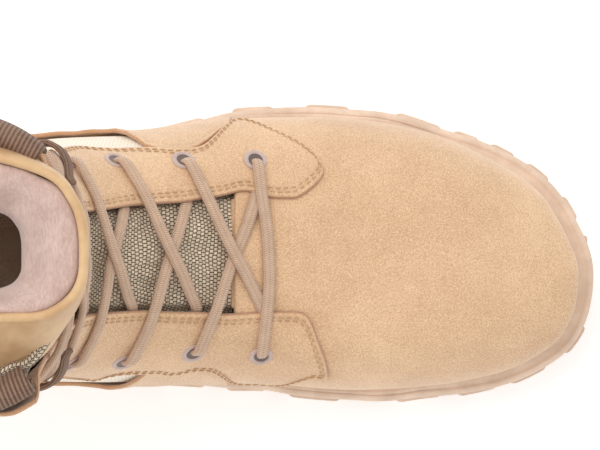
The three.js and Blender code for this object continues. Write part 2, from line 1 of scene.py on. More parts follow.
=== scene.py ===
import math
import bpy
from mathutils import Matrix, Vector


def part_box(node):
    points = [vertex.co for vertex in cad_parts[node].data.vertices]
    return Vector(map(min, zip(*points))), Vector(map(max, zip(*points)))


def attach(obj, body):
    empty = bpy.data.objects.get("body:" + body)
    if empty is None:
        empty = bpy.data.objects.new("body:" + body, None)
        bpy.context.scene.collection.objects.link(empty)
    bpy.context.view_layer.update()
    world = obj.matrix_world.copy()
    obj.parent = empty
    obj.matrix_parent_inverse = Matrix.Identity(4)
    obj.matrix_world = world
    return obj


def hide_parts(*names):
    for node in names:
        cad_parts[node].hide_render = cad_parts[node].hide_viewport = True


bl_info = {
    "name": "Combat boot",
    "version": (1, 0, 0),
    "blender": (4, 5, 0),
    "location": "View3D > Sidebar > Boot",
    "description": "Suede and nylon lace-up boot for the left foot, standing on its sole",
    "category": "Object",
}

import bmesh
import bpy
import numpy as np
from mathutils import Matrix, Vector

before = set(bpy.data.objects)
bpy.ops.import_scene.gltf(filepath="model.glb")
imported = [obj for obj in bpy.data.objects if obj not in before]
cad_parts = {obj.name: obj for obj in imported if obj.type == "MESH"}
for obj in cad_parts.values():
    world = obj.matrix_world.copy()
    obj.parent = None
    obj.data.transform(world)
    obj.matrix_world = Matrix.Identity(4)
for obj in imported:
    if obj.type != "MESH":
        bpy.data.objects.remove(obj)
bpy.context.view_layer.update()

MM = 0.001
# The form below is worked out about the ankle; this carries it to the frame's origin (mm).
FRAME_SHIFT = np.array([0.1426, 0.0865, 0.0])


# ------------------------------------------------------------------ curves
class Curve:
    """A smooth curve through given values that never overshoots them."""

    def __init__(self, *knots):
        self.at, self.values = (np.array(column, float) for column in zip(*knots))
        rise = np.diff(self.values) / np.diff(self.at)
        before = np.concatenate((rise[:1], rise))
        after = np.concatenate((rise, rise[-1:]))
        agree = before * after > 0
        self.slope = np.where(agree, 2 * before * after / np.where(agree, before + after, 1), 0)

    def __call__(self, place):
        place = np.clip(place, self.at[0], self.at[-1])
        i = np.clip(np.searchsorted(self.at, place, side="right") - 1, 0, len(self.at) - 2)
        width = self.at[i + 1] - self.at[i]
        t = (place - self.at[i]) / width
        rest = 1 - t
        return (
            self.values[i] * rest**2 * (1 + 2 * t)
            + self.values[i + 1] * t**2 * (1 + 2 * rest)
            + self.slope[i] * width * t * rest**2
            - self.slope[i + 1] * width * rest * t**2
        )


def smooth(value, low, high):
    """Rises from 0 to 1 between low and high."""
    t = np.clip((value - low) / (high - low), 0, 1)
    return t * t * (3 - 2 * t)


def unit(vectors):
    return vectors / np.maximum(np.linalg.norm(vectors, axis=-1, keepdims=True), 1e-9)


def path_through(knots, count):
    """Evenly spaced points on a smooth curve through the knots."""
    knots = np.array(knots, float)
    run = distances(knots)
    fine = np.linspace(0, run[-1], 1200)
    ends = np.vstack((2 * knots[0] - knots[1], knots, 2 * knots[-1] - knots[-2]))
    i = np.clip(np.searchsorted(run, fine, side="right") - 1, 0, len(run) - 2)
    t = ((fine - run[i]) / (run[i + 1] - run[i]))[:, None]
    a, b, c, d = ends[i], ends[i + 1], ends[i + 2], ends[i + 3]
    points = 0.5 * (2 * b + (c - a) * t + (2 * a - 5 * b + 4 * c - d) * t**2
                    + (3 * b - 3 * c + d - a) * t**3)
    return evenly(points, count)


def distances(points):
    """How far along a path each of its points is."""
    return np.concatenate(([0], np.cumsum(np.linalg.norm(np.diff(points, axis=0), axis=1))))


def read_along(path, values, at):
    """Values carried by the points of a path, at given distances along it."""
    run = distances(path)
    return np.stack([np.interp(at, run, values[:, k]) for k in range(values.shape[1])], axis=1)


def evenly(points, count):
    return read_along(points, points, np.linspace(0, length_of(points), count))


def length_of(points):
    return float(np.linalg.norm(np.diff(points, axis=0), axis=1).sum())


# ------------------------------------------------------------------ the lasted form (mm)
CENTRE_Y = -2
# The side walls rise this far above the sole before they start to lean in.
SIDE_RISE = 8
HEEL_X = -112
HEEL_RADIUS = 35
TOE_X = 60
# Sections are superellipses of this power; the two scales turn their values into millimetres.
SECTION_POWER = 2.6
FOOT_SCALE, SHAFT_SCALE = 42, 46
# Foot and shaft melt into each other over this distance.
MELT, MELT_DEPTH = 16, 4
# Tables by side: 1 is lateral (the outer side), -1 is medial.
FOOT_WIDTH = {
    1: Curve((-112, 35), (-85, 42.5), (-55, 47.5), (-25, 49), (0, 52.2), (20, 54.7), (40, 55),
             (60, 53.8), (80, 50.7), (100, 45.6), (125, 33.4)),
    -1: Curve((-112, 35), (-85, 42.5), (-55, 48), (-25, 48.5), (0, 47.5), (20, 47.4), (40, 49.8),
              (60, 51.1), (80, 50.2), (100, 47.5), (125, 39.4)),
}
# How far the waist tucks in under the foot, as a share of the half width.
TUCK = Curve((-112, 0), (-82, 0.09), (-48, 0.13), (-14, 0.05), (8, 0))
# The toe's radius by the angle from straight ahead, in degrees towards the lateral side.
TOE_ROUND = Curve((-90, 51.1), (-66, 54.6), (-50, 62), (-38, 70.7), (-28, 78.6), (-20, 84),
                  (-12, 85.6), (-3, 85), (8, 80.2), (18, 75.7), (28, 69.4), (40, 62.2),
                  (56, 55.6), (73, 53.8), (90, 53.8))
# Heights by x: the ground side of the lugs, the plate above them, the joint with the midsole
# and the midsole's top.
SOLE_GROUND = Curve((-156, 4), (-142, 0), (-82, 0), (-70, 7.5), (-30, 7.5), (-16, 0), (84, 0),
                    (118, 4), (140, 10), (156, 17))
SOLE_PLATE = Curve((-156, 9), (-142, 5.5), (-82, 5.5), (-70, 12), (-30, 12), (-16, 5.5), (30, 5),
                   (84, 5), (118, 8.5), (140, 14), (156, 21))
SOLE_SPLIT = Curve((-156, 20.5), (-142, 19.5), (-82, 18.5), (-70, 18), (-30, 16.5), (-16, 15),
                   (30, 13), (84, 12.5), (118, 16), (140, 25), (156, 33))
SOLE_TOP = Curve((-156, 35), (-142, 34.5), (-82, 32.5), (-70, 31), (-30, 27), (-16, 26), (30, 24),
                 (84, 25), (118, 29), (140, 34), (156, 38.5))
# The foot's crest by x; the shaft's front, back and sides by height.
RIDGE = Curve((-112, 104), (-60, 108), (-30, 101), (-14, 92), (2, 84), (18, 77), (36, 72.5),
              (60, 70.5), (90, 69.5), (115, 67.5), (135, 64), (152, 60))
SHAFT_FRONT = Curve((40, -66), (60, -44), (80, -33), (100, -38), (120, -42), (150, -43.5),
                    (180, -42.5), (210, -38.5), (244, -33))
SHAFT_BACK = Curve((40, -140), (60, -143), (80, -143), (100, -141), (120, -139), (150, -141),
                   (180, -145), (210, -148), (244, -149.5))
SHAFT_SIDE = {
    1: Curve((40, 26), (60, 33), (80, 40), (100, 43.5), (120, 44.5), (150, 45), (180, 45.5),
             (210, 46), (244, 47)),
    -1: Curve((40, -31), (60, -38), (80, -45), (100, -48), (120, -49), (150, -49.5),
              (180, -50), (210, -50.5), (244, -51.5)),
}
# A line inside the boot from the toe up the shaft, and the throat's edges by the run along it.
SPINE_END = 337
SPINE_X = Curve((0, 98), (38, 60), (78, 20), (119, -20), (163, -60), (199, -84), (234, -92),
                (284, -93), (337, -93))
SPINE_Z = Curve((0, 45), (38, 47), (78, 51), (119, 61), (163, 80), (199, 107), (234, 141),
                (284, 191), (337, 244))
THROAT = {
    1: Curve((70, 23.5), (110, 21), (150, 17), (190, 16), (230, 19), (275, 26), (340, 37)),
    -1: Curve((70, -21.5), (110, -20), (150, -20), (190, -23), (230, -27), (275, -34), (340, -44)),
}


def by_side(table, y, place):
    return np.where(y > CENTRE_Y, table[1](place), table[-1](place))


def foot_gap(x, y, z):
    dy = y - CENTRE_Y
    tuck = TUCK(x) * (1 - smooth(z, SOLE_TOP(x) - 4, SOLE_TOP(x) + 26))
    across = np.abs(dy) / (by_side(FOOT_WIDTH, y, x) * (1 - tuck))
    dx = x - TOE_X
    angle = np.degrees(np.arctan2(dy, np.maximum(dx, 1e-6)))
    toe = np.hypot(dx, dy) / TOE_ROUND(angle)
    blend = smooth(x, 75, 120)
    plan = np.where(dx > 0, across * (1 - blend) + toe * blend, across)
    plan = np.where(x < HEEL_X, np.hypot(x - HEEL_X, dy) / HEEL_RADIUS, plan)
    spring = SOLE_TOP(x) + SIDE_RISE
    rise = np.maximum(0, z - spring) / (RIDGE(x) - spring)
    return ((plan**SECTION_POWER + rise**2) ** (1 / SECTION_POWER) - 1) * FOOT_SCALE


def shaft_gap(x, y, z):
    front, back = SHAFT_FRONT(z), SHAFT_BACK(z)
    along = np.abs(x - (front + back) / 2) / ((front - back) / 2)
    dy = y - CENTRE_Y
    side = by_side(SHAFT_SIDE, y, z) - CENTRE_Y
    total = along**SECTION_POWER + np.abs(dy / side) ** SECTION_POWER
    return (total ** (1 / SECTION_POWER) - 1) * SHAFT_SCALE


def form_gap(p):
    """Below 0 inside the form, roughly the distance to its surface."""
    x, y, z = p[..., 0], p[..., 1], p[..., 2]
    foot, shaft = foot_gap(x, y, z), shaft_gap(x, y, z)
    share = np.maximum(MELT - np.abs(foot - shaft), 0) / MELT
    return np.minimum(foot, shaft) - share**2 * MELT_DEPTH


def form_normal(p):
    steps = np.eye(3) * 0.8
    return unit(np.stack([form_gap(p + s) - form_gap(p - s) for s in steps], axis=-1))


def cast(origin, direction):
    """Where rays from inside the form meet its surface."""
    origin, direction = np.broadcast_arrays(np.asarray(origin, float), np.asarray(direction, float))
    far = np.full(origin.shape[:-1], 4.0)
    for _ in range(50):
        far = np.where(form_gap(origin + direction * far[..., None]) < 0, far + 4, far)
    near = far - 4
    for _ in range(16):
        middle = (near + far) / 2
        inside = form_gap(origin + direction * middle[..., None]) < 0
        near, far = np.where(inside, middle, near), np.where(inside, far, middle)
    return origin + direction * far[..., None]


def lift(points, offset):
    """Moves points on the form outwards along its normal."""
    return points + form_normal(points) * np.asarray(offset, float)[..., None]


def settle(points, offset=0.0):
    """The nearest points of the form, moved outwards by an offset."""
    points = np.array(points, float)
    for _ in range(9):
        points = points - form_normal(points) * form_gap(points)[..., None] * 0.9
    return lift(points, np.broadcast_to(offset, points.shape[:-1]))


def drop(x, y):
    """The height of the form's top at a place in plan."""
    top, low = 150.0, 40.0
    for _ in range(24):
        middle = (top + low) / 2
        if form_gap(np.array([x, y, middle])) < 0:
            low = middle
        else:
            top = middle
    return low


def spine_frame(run):
    """The spine's place, its direction towards the toe and the way up, at each run."""
    run = np.asarray(run, float)
    centre = np.stack([SPINE_X(run), np.full(run.shape, float(CENTRE_Y)), SPINE_Z(run)], axis=-1)
    ahead, behind = np.maximum(run - 1, 0), np.minimum(run + 1, SPINE_END)
    steps = [SPINE_X(ahead) - SPINE_X(behind), np.zeros(run.shape), SPINE_Z(ahead) - SPINE_Z(behind)]
    forward = unit(np.stack(steps, axis=-1))
    return centre, forward, np.cross(forward, [0, 1, 0])


def on_form(run, angle, offset=0.0):
    """A place by its run along the spine and its angle round it, 0 at the crest, + lateral."""
    run, angle = np.broadcast_arrays(np.asarray(run, float), np.asarray(angle, float))
    centre, _, up = spine_frame(run)
    turn = np.radians(angle)[..., None]
    points = cast(centre, up * np.cos(turn) + np.array([0, 1, 0]) * np.sin(turn))
    return lift(points, np.broadcast_to(offset, run.shape))


def angle_at(run, y):
    """The angle at which the section at each run reaches a place across the boot."""
    run, y = np.broadcast_arrays(np.asarray(run, float), np.asarray(y, float))
    sign = np.where(y > CENTRE_Y, 1.0, -1.0)
    low, high = np.zeros(run.shape), np.full(run.shape, 110.0)
    for _ in range(14):
        middle = (low + high) / 2
        reached = np.abs(on_form(run, sign * middle)[..., 1] - CENTRE_Y)
        short = reached < np.abs(y - CENTRE_Y)
        low, high = np.where(short, middle, low), np.where(short, high, middle)
    return sign * low


# ------------------------------------------------------------------ soft shapes on a surface
def crease(points, start, end, width, depth):
    """A soft trough (or ridge, below 0) along a line in plan, fading at its ends."""
    start, end = np.array(start, float), np.array(end, float)
    flat = points[..., :2]
    line = end - start
    t = np.clip(((flat - start) @ line) / (line @ line), 0, 1)
    gap = np.linalg.norm(flat - (start + t[..., None] * line), axis=-1)
    return -depth * np.exp(-((gap / width) ** 2)) * np.sin(np.pi * np.clip(t, 0.12, 0.88)) ** 0.6


def ripple(points, size, seed):
    """Gentle unevenness from a few waves of one size, between about -1 and 1."""
    random = np.random.default_rng(seed)
    total = np.zeros(points.shape[:-1])
    for _ in range(5):
        wave = unit(random.normal(size=3)) * 2 * np.pi / (size * random.uniform(0.7, 1.5))
        total += np.sin(points @ wave + random.uniform(0, 2 * np.pi))
    return total / 3


# ------------------------------------------------------------------ meshes
def publish(bm, name, material, replaces=()):
    """Turns a bmesh in millimetres into a finished piece of the boot."""
    bmesh.ops.translate(bm, verts=bm.verts, vec=Vector(FRAME_SHIFT))
    bmesh.ops.scale(bm, verts=bm.verts, vec=(MM, MM, MM))
    for face in bm.faces:
        face.smooth = True
    mesh = bpy.data.meshes.new(name)
    bm.to_mesh(mesh)
    bm.free()
    piece = bpy.data.objects.new(name, mesh)
    bpy.context.scene.collection.objects.link(piece)
    mesh.materials.append(material)
    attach(piece, "root")
    if replaces:
        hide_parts(*replaces)
    return piece


def grid_of(bm, points, uv=None, fields=None):
    """Adds a grid whose vertices lie at points[row][column], with UV in mm and named values."""
    rows, cols = points.shape[:2]
    before = set(bm.verts)
    made = bmesh.ops.create_grid(bm, x_segments=rows - 1, y_segments=cols - 1, size=0.5)["verts"]
    if len(made) != rows * cols:
        raise ValueError("the grid has %d corners, not %d" % (len(made), rows * cols))
    layers = {key: bm.verts.layers.float.get(key) or bm.verts.layers.float.new(key) for key in fields or {}}
    uv_layer = bm.loops.layers.uv.verify()
    made = [v for v in bm.verts if v not in before]
    place = {}
    for vert in made:
        i = round((vert.co.x + 0.5) * (rows - 1))
        j = round((vert.co.y + 0.5) * (cols - 1))
        place[vert] = (i, j)
    for vert, (i, j) in place.items():
        vert.co = points[i, j]
        for key, layer in layers.items():
            vert[layer] = float(fields[key][i, j])
    if uv is not None:
        for face in {f for v in made for f in v.link_faces}:
            for loop in face.loops:
                loop[uv_layer].uv = uv[place[loop.vert]]
    return made


def measured(points):
    """Distances along rows and columns of a grid, as UV in mm."""
    rows, cols = points.shape[:2]
    along = np.linalg.norm(np.diff(points, axis=0), axis=2)
    across = np.linalg.norm(np.diff(points, axis=1), axis=2)
    u = np.concatenate((np.zeros((1, cols)), np.cumsum(along, axis=0)))
    v = np.concatenate((np.zeros((rows, 1)), np.cumsum(across, axis=1)), axis=1)
    middle = u[:, cols // 2][:, None] * np.ones((1, cols))
    return np.stack([middle, v - v[:, -1:] / 2], axis=-1)


def close_up(bm, gap=1e-4):
    bmesh.ops.remove_doubles(bm, verts=bm.verts, dist=gap)
    bmesh.ops.dissolve_degenerate(bm, edges=bm.edges, dist=gap / 2)
    bmesh.ops.recalc_face_normals(bm, faces=bm.faces)


def skin_mesh(bm, outer, inner, fields=None):
    """A closed sheet between two faces that meet all round its rim."""
    outer, inner = outer.copy(), inner.copy()
    for edge in (np.s_[0, :], np.s_[-1, :], np.s_[:, 0], np.s_[:, -1]):
        outer[edge] = inner[edge] = (outer[edge] + inner[edge]) / 2
    fold = lambda a, b: np.concatenate((a, b[:, ::-1], a[:, :1]), axis=1)
    uv = measured(outer)
    folded = {key: fold(value, value) for key, value in (fields or {}).items()}
    grid_of(bm, fold(outer, inner), fold(uv, uv), folded)


def skin(name, outer, inner, material, slot, fields=None, replaces=()):
    bm = bmesh.new()
    skin_mesh(bm, outer, inner, fields)
    close_up(bm)
    return publish(bm, name, material, replaces=replaces)


def rimmed(steps, width, rim=(0.0, 0.12, 0.45, 1.0)):
    """Places across a width, with a few close to each end for a rounded rim."""
    rim = np.array(rim)
    return np.concatenate((rim, np.linspace(rim[-1], width - rim[-1], steps)[1:-1], width - rim[::-1]))


class Strip:
    """A strip of the form between two edges that run side by side."""

    def __init__(self, first, second):
        self.first = path_through(self.raised(first), 400)
        self.second = path_through(self.raised(second), 400)
        self.length = length_of(self.first)

    @staticmethod
    def raised(knots):
        return [(k[0], k[1], k[2] if len(k) > 2 else drop(k[0], k[1])) for k in knots]

    def ends(self, share):
        at = np.clip(share, 0, 1) * (len(self.first) - 1)
        index = np.arange(len(self.first))
        pick = lambda path: np.stack([np.interp(at, index, path[:, k]) for k in range(3)], axis=-1)
        return pick(self.first), pick(self.second)

    def at(self, share, inset, offset):
        """Places by share of the length and distance from the first edge (or second, below 0)."""
        a, b = self.ends(share)
        width = np.linalg.norm(b - a, axis=-1)
        t = np.where(inset < 0, 1 + inset / width, inset / width)
        return settle(a + (b - a) * t[..., None], offset)

    def grid(self, rows, cols):
        shares = rimmed(rows, self.length) / self.length
        a, b = self.ends(shares)
        width = np.linalg.norm(b - a, axis=-1)
        least = np.maximum(width, 2.4)
        across = np.stack([rimmed(cols, most) * w / most for w, most in zip(width, least)])
        t = across / width[:, None]
        points = settle(a[:, None] + (b - a)[:, None] * t[..., None])
        along = (shares * self.length)[:, None] * np.ones((1, t.shape[1]))
        edge = np.minimum(np.minimum(across, width[:, None] - across),
                          np.minimum(along, self.length - along))
        return points, edge


def round_rim(edge, radius=0.9):
    """0 at the rim of a leather piece, 1 from a small radius inwards."""
    t = np.clip(edge / radius, 0, 1)
    return np.sqrt(np.clip(1 - (1 - t) ** 2, 0, 1))


def tube_mesh(bm, centres, ups, widths, heights, sides=10, power=1.0):
    """An oval tube along a path; ups say which way its flat face looks."""
    tangents = unit(np.gradient(centres, axis=0))
    side = unit(np.cross(ups, tangents))
    up = unit(np.cross(tangents, side))
    turns = np.linspace(0, 2 * np.pi, sides + 1)
    cos = np.sign(np.cos(turns)) * np.abs(np.cos(turns)) ** power
    sin = np.sign(np.sin(turns)) * np.abs(np.sin(turns)) ** power
    ring = (centres[:, None]
            + side[:, None] * (cos[None, :, None] * widths[:, None, None] / 2)
            + up[:, None] * (sin[None, :, None] * heights[:, None, None] / 2))
    uv = np.stack(np.meshgrid(distances(centres), turns / (2 * np.pi), indexing="ij"), axis=-1)
    ring[0] = centres[0]
    ring[-1] = centres[-1]
    grid_of(bm, ring, uv)


def thread_mesh(bm, path, ups, pitch=3.0, stitch=2.3, thickness=0.55):
    """Stitches end to end along a path: short threads that dip in at both ends."""
    for k in range(int(length_of(path) // pitch)):
        places = (k + 0.5) * pitch + np.array([-0.5, -0.32, 0, 0.32, 0.5]) * stitch
        up = unit(read_along(path, ups, places))
        centres = read_along(path, path, places) + up * np.array([-0.25, 0.16, 0.24, 0.16, -0.25])[:, None]
        thick = np.array([0.5, 1, 1, 1, 0.5]) * thickness
        tube_mesh(bm, centres, up, thick, thick, sides=5)


# ------------------------------------------------------------------ materials
def srgb(red, green, blue):
    """A display colour (0 to 255) as the linear one that shaders use."""
    linear = lambda c: c / 12.92 if c <= 0.04045 else ((c + 0.055) / 1.055) ** 2.4
    return tuple(linear(c / 255) for c in (red, green, blue))


class Wire:
    """A node's output that arithmetic builds Math nodes on."""

    def __init__(self, paint, socket):
        self.paint, self.socket = paint, socket

    def maths(self, operation, *values):
        return self.paint.node("ShaderNodeMath", {"operation": operation}, dict(enumerate(values)))

    def __add__(self, other):
        return self.maths("ADD", self, other)

    def __sub__(self, other):
        return self.maths("SUBTRACT", self, other)

    def __mul__(self, other):
        return self.maths("MULTIPLY", self, other)

    def __truediv__(self, other):
        return self.maths("DIVIDE", self, other)

    __radd__, __rmul__ = __add__, __mul__

    def call(self, operation, *more):
        return self.maths(operation, self, *more)


class Paint:
    """Builds one procedural material."""

    def __init__(self, name, **constants):
        self.material = bpy.data.materials.new(name)
        self.material.use_nodes = True
        self.tree = self.material.node_tree
        self.tree.nodes.clear()
        self.shader = self.tree.nodes.new("ShaderNodeBsdfPrincipled")
        out = self.tree.nodes.new("ShaderNodeOutputMaterial")
        self.tree.links.new(self.shader.outputs[0], out.inputs["Surface"])
        for key, value in constants.items():
            self.shader.inputs[key.replace("_", " ")].default_value = value

    def node(self, kind, settings=None, values=None, output=0):
        made = self.tree.nodes.new(kind)
        for key, value in (settings or {}).items():
            if key == "stops":
                ramp = made.color_ramp
                for k, (at, colour) in enumerate(value):
                    stop = ramp.elements[k] if k < 2 else ramp.elements.new(at)
                    stop.position, stop.color = at, (*colour, 1)
            else:
                setattr(made, key, value)
        for key, value in (values or {}).items():
            self.feed(made.inputs[key], value)
        return Wire(self, made.outputs[output])

    def feed(self, socket, value):
        if isinstance(value, Wire):
            self.tree.links.new(value.socket, socket)
        elif isinstance(value, tuple) and len(value) == 3 and socket.type == "RGBA":
            socket.default_value = (*value, 1)
        else:
            socket.default_value = value

    def places(self, scale=(1, 1, 1), turn=0.0):
        """Object coordinates in millimetres, stretched by a scale."""
        here = self.node("ShaderNodeTexCoord", output=3)
        size = tuple(s / MM for s in scale)
        return self.node("ShaderNodeMapping", {}, {0: here, 2: (0, 0, turn), 3: size})

    def uv(self, axis):
        return self.node("ShaderNodeSeparateXYZ", {}, {0: self.node("ShaderNodeTexCoord", output=2)}, axis)

    def value(self, name):
        return self.node("ShaderNodeAttribute", {"attribute_name": name}, output=2)

    def noise(self, size, detail=2.0, rough=0.5, at=None):
        """Noise between 0 and 1 whose features are about so many millimetres."""
        return self.node("ShaderNodeTexNoise", {"noise_dimensions": "3D"},
                         {"Vector": at or self.places(), "Scale": 1 / size, "Detail": detail,
                          "Roughness": rough})

    def step(self, value, low, high, out_low=0.0, out_high=1.0):
        return self.node("ShaderNodeMapRange", {"interpolation_type": "SMOOTHSTEP"},
                         {0: value, 1: low, 2: high, 3: out_low, 4: out_high})

    def mix(self, factor, first, second, mode="MIX"):
        return self.node("ShaderNodeMix", {"data_type": "RGBA", "blend_type": mode},
                         {0: factor, 6: first, 7: second}, 2)

    def bump(self, height, depth, strength=1.0, under=None):
        """A bump of a height between 0 and 1, so many millimetres deep."""
        values = {"Height": height, "Distance": depth * MM, "Strength": strength}
        if under is not None:
            values["Normal"] = under
        return self.node("ShaderNodeBump", {}, values)

    def finish(self, colour, roughness, normal=None):
        self.feed(self.shader.inputs["Base Color"], colour)
        self.feed(self.shader.inputs["Roughness"], roughness)
        if normal is not None:
            self.feed(self.shader.inputs["Normal"], normal)
        return self.material


def suede_paint(name, light, dark, edge_colour=None):
    """Napped leather: fine speckle, soft mottling and, on cut pieces, a raw rim and a sewn groove with a
    little painted shade in it.
    """
    paint = Paint(name, Sheen_Weight=0.35, Sheen_Roughness=0.55, Specular_IOR_Level=0.2)
    nap = paint.noise(0.55, 3.0, 0.7)
    fleck = paint.noise(0.22, 1.0, 0.5)
    cloud = paint.noise(9.0, 3.0, 0.6)
    hand = paint.noise(38.0, 2.0, 0.5)
    tone = nap * 0.9 + fleck * 0.4 + cloud * 0.14 + hand * 0.22
    colour = paint.mix(paint.step(tone, 0.56, 1.1), dark, light)
    height = nap * 0.6 + fleck * 0.3 + cloud * 0.25
    if edge_colour is not None:
        edge = paint.value("edge")
        raw = paint.step(edge + paint.noise(1.2) * 0.7, 0.45, 1.15, 1.0, 0.0)
        groove = paint.step((edge - 3.0).call("ABSOLUTE"), 0.2, 1.3, 1.0, 0.0)
        # Painted shade: the colour darkens a little in the sewn groove.
        colour = paint.mix(groove * 0.08, colour, tuple(c * 0.55 for c in dark))
        colour = paint.mix(raw * 0.75, colour, edge_colour)
        height = height - groove * 0.3
    return paint.finish(colour, paint.step(nap, 0.3, 0.7, 0.82, 0.97), paint.bump(height, 0.16, 0.8))


def weave_paint(name, light, dark, pitch):
    """Basket weave: pairs of glossy threads over and under, with painted shade in the gaps between them and
    between the plies.
    """
    paint = Paint(name, Sheen_Weight=0.1, Specular_IOR_Level=0.35)
    waver = paint.noise(6.0, 2.0)
    u = paint.uv(0) / pitch + waver * 0.35
    v = paint.uv(1) / pitch + waver * 0.3
    row = u.call("FLOOR")
    shift = v + row * 0.5
    along = (shift.call("FRACT") - 0.5).call("ABSOLUTE")
    across = (u.call("FRACT") - 0.5).call("ABSOLUTE")
    thread = paint.step(across, 0.39, 0.5, 1.0, 0.0) * paint.step(along, 0.32, 0.49, 1.0, 0.0)
    ply = ((u * 4.0).call("FRACT") - 0.5).call("ABSOLUTE")
    dull = tuple(c * 0.62 for c in light)
    shade = paint.mix(paint.step(paint.noise(1.1, 2.0, 0.6), 0.35, 0.7), dull, light)
    # Painted shade between the plies of each thread.
    shade = paint.mix(ply * 0.35, shade, tuple(c * 0.5 for c in light))
    # The gap colour is painted shade, a little uneven.
    gap = paint.mix(paint.noise(0.8), dark, tuple(min(1, c * 2.0) for c in dark))
    colour = paint.mix(thread, gap, shade)
    return paint.finish(colour, paint.step(thread, 0.0, 1.0, 0.85, 0.5),
                        paint.bump(thread - ply * 0.12, 0.55, 1.0))


def cloth_paint(name, light, dark, pitch, depth=0.12, sheen=0.2, lines="both"):
    """Fine plain cloth: a small grid or rib of threads, with soft shading; the colour is darker in the
    hollows between the threads, which is painted shade.
    """
    paint = Paint(name, Sheen_Weight=sheen, Sheen_Roughness=0.5, Specular_IOR_Level=0.25)
    rib = ((paint.uv(0) / pitch).call("FRACT") - 0.5).call("ABSOLUTE") * 2
    cross = ((paint.uv(1) / pitch).call("FRACT") - 0.5).call("ABSOLUTE") * 2
    thread = rib * 0.5 + cross * 0.5 if lines == "both" else (rib if lines == "u" else cross)
    cloud = paint.noise(12.0, 3.0, 0.6)
    # Painted shade: the tone, and so the colour, is darker in the hollows between the threads, mixed with
    # random mottling.
    tone = thread * 0.5 + paint.noise(0.7, 2.0) * 0.4 + cloud * 0.4
    colour = paint.mix(paint.step(tone, 0.3, 0.95), dark, light)
    return paint.finish(colour, 0.9, paint.bump(thread + paint.noise(0.5) * 0.5, depth, 0.9))


def plush_paint(name, light, dark):
    """Brushed lining with a short, mixed pile."""
    paint = Paint(name, Sheen_Weight=0.5, Sheen_Roughness=0.6, Specular_IOR_Level=0.1)
    pile = paint.noise(0.9, 4.0, 0.75, paint.places((1.0, 0.35, 1.0), 0.6))
    tone = pile * 0.7 + paint.noise(7.0, 2.0) * 0.4
    return paint.finish(paint.mix(paint.step(tone, 0.35, 0.8), dark, light), 0.96,
                        paint.bump(pile, 0.22, 0.8))


def leather_paint(name, light, dark):
    """Smooth corrected leather with a fine pebble and faint rubbing."""
    paint = Paint(name, Specular_IOR_Level=0.4, Sheen_Weight=0.1)
    pebble = paint.node("ShaderNodeTexVoronoi", {"feature": "DISTANCE_TO_EDGE"},
                        {"Vector": paint.places(), "Scale": 1 / 0.8})
    cloud = paint.noise(11.0, 3.0, 0.55)
    scuff = paint.step(paint.noise(2.6, 5.0, 0.8), 0.62, 0.75)
    colour = paint.mix(paint.step(cloud, 0.3, 0.75), dark, light)
    colour = paint.mix(scuff * 0.25, colour, tuple(c * 0.6 for c in dark))
    return paint.finish(colour, paint.step(cloud, 0.3, 0.7, 0.42, 0.6) + scuff * 0.15,
                        paint.bump(paint.step(pebble, 0.0, 0.12) + cloud * 0.6, 0.05, 0.7))


def rubber_paint(name, light, dark):
    """Matt moulded rubber, a little dusty, with a fine spark-eroded texture."""
    paint = Paint(name, Specular_IOR_Level=0.35)
    fine = paint.noise(0.35, 2.0, 0.6)
    dust = paint.noise(14.0, 4.0, 0.65)
    worn = paint.step(paint.noise(3.5, 4.0, 0.75), 0.6, 0.78)
    colour = paint.mix(paint.step(dust + fine * 0.25, 0.4, 0.9), dark, light)
    colour = paint.mix(worn * 0.3, colour, tuple(c * 0.72 for c in dark))
    return paint.finish(colour, paint.step(dust, 0.3, 0.7, 0.55, 0.75), paint.bump(fine, 0.06, 0.7))


def braid_paint(name, light, dark):
    """Round braid of flat plies: a herringbone that follows the cord, with painted shade between the plies
    and in the seams.
    """
    paint = Paint(name, Sheen_Weight=0.25, Specular_IOR_Level=0.25)
    u, v = paint.uv(0) / 0.85, paint.uv(1) * 8.0
    fold = ((v * 0.5).call("FRACT") - 0.5).call("ABSOLUTE") * 2.0
    ply = ((u + fold * 0.9).call("FRACT") - 0.5).call("ABSOLUTE") * 2.0
    strand = paint.step(ply, 0.1, 0.9)
    seam = paint.step((v.call("FRACT") - 0.5).call("ABSOLUTE"), 0.36, 0.5)
    tone = paint.noise(4.0, 2.0)
    # Painted shade between the plies, mixed with random tone.
    colour = paint.mix(strand * 0.55 + tone * 0.5, dark, light)
    # Painted shade in the seams between strands.
    colour = paint.mix(seam * 0.3, colour, tuple(c * 0.6 for c in dark))
    return paint.finish(colour, 0.85, paint.bump(strand - seam * 0.5, 0.16, 1.0))


def enamel_paint(name, light, dark):
    """Painted metal, slightly glossy, rubbed thin along the rolled rim."""
    paint = Paint(name, Specular_IOR_Level=0.5, Coat_Weight=0.15, Coat_Roughness=0.3)
    chip = paint.step(paint.noise(0.9, 3.0, 0.7), 0.6, 0.72)
    colour = paint.mix(paint.noise(3.0, 2.0), dark, light)
    colour = paint.mix(chip * 0.35, colour, tuple(c * 0.6 for c in dark))
    colour = paint.mix(paint.value("shade"), colour, tuple(c * 0.3 for c in dark))
    return paint.finish(colour, paint.step(paint.noise(1.6, 2.0), 0.3, 0.7, 0.32, 0.5),
                        paint.bump(paint.noise(1.2, 2.0), 0.04, 0.5))


def twist_paint(name, light, dark):
    """Twisted sewing thread, with painted shade between its plies."""
    paint = Paint(name, Specular_IOR_Level=0.3)
    ply = ((paint.uv(0) / 0.5 + paint.uv(1)).call("FRACT") - 0.5).call("ABSOLUTE") * 2.0
    # Painted shade between the plies.
    return paint.finish(paint.mix(ply, dark, light), 0.75, paint.bump(ply, 0.08, 0.8))


# ------------------------------------------------------------------ settings
def tint(name, red, green, blue):
    return bpy.props.FloatVectorProperty(
        name=name, description="Colour of the " + name.lower(), subtype="COLOR", size=3,
        min=0, max=1, default=srgb(red, green, blue))


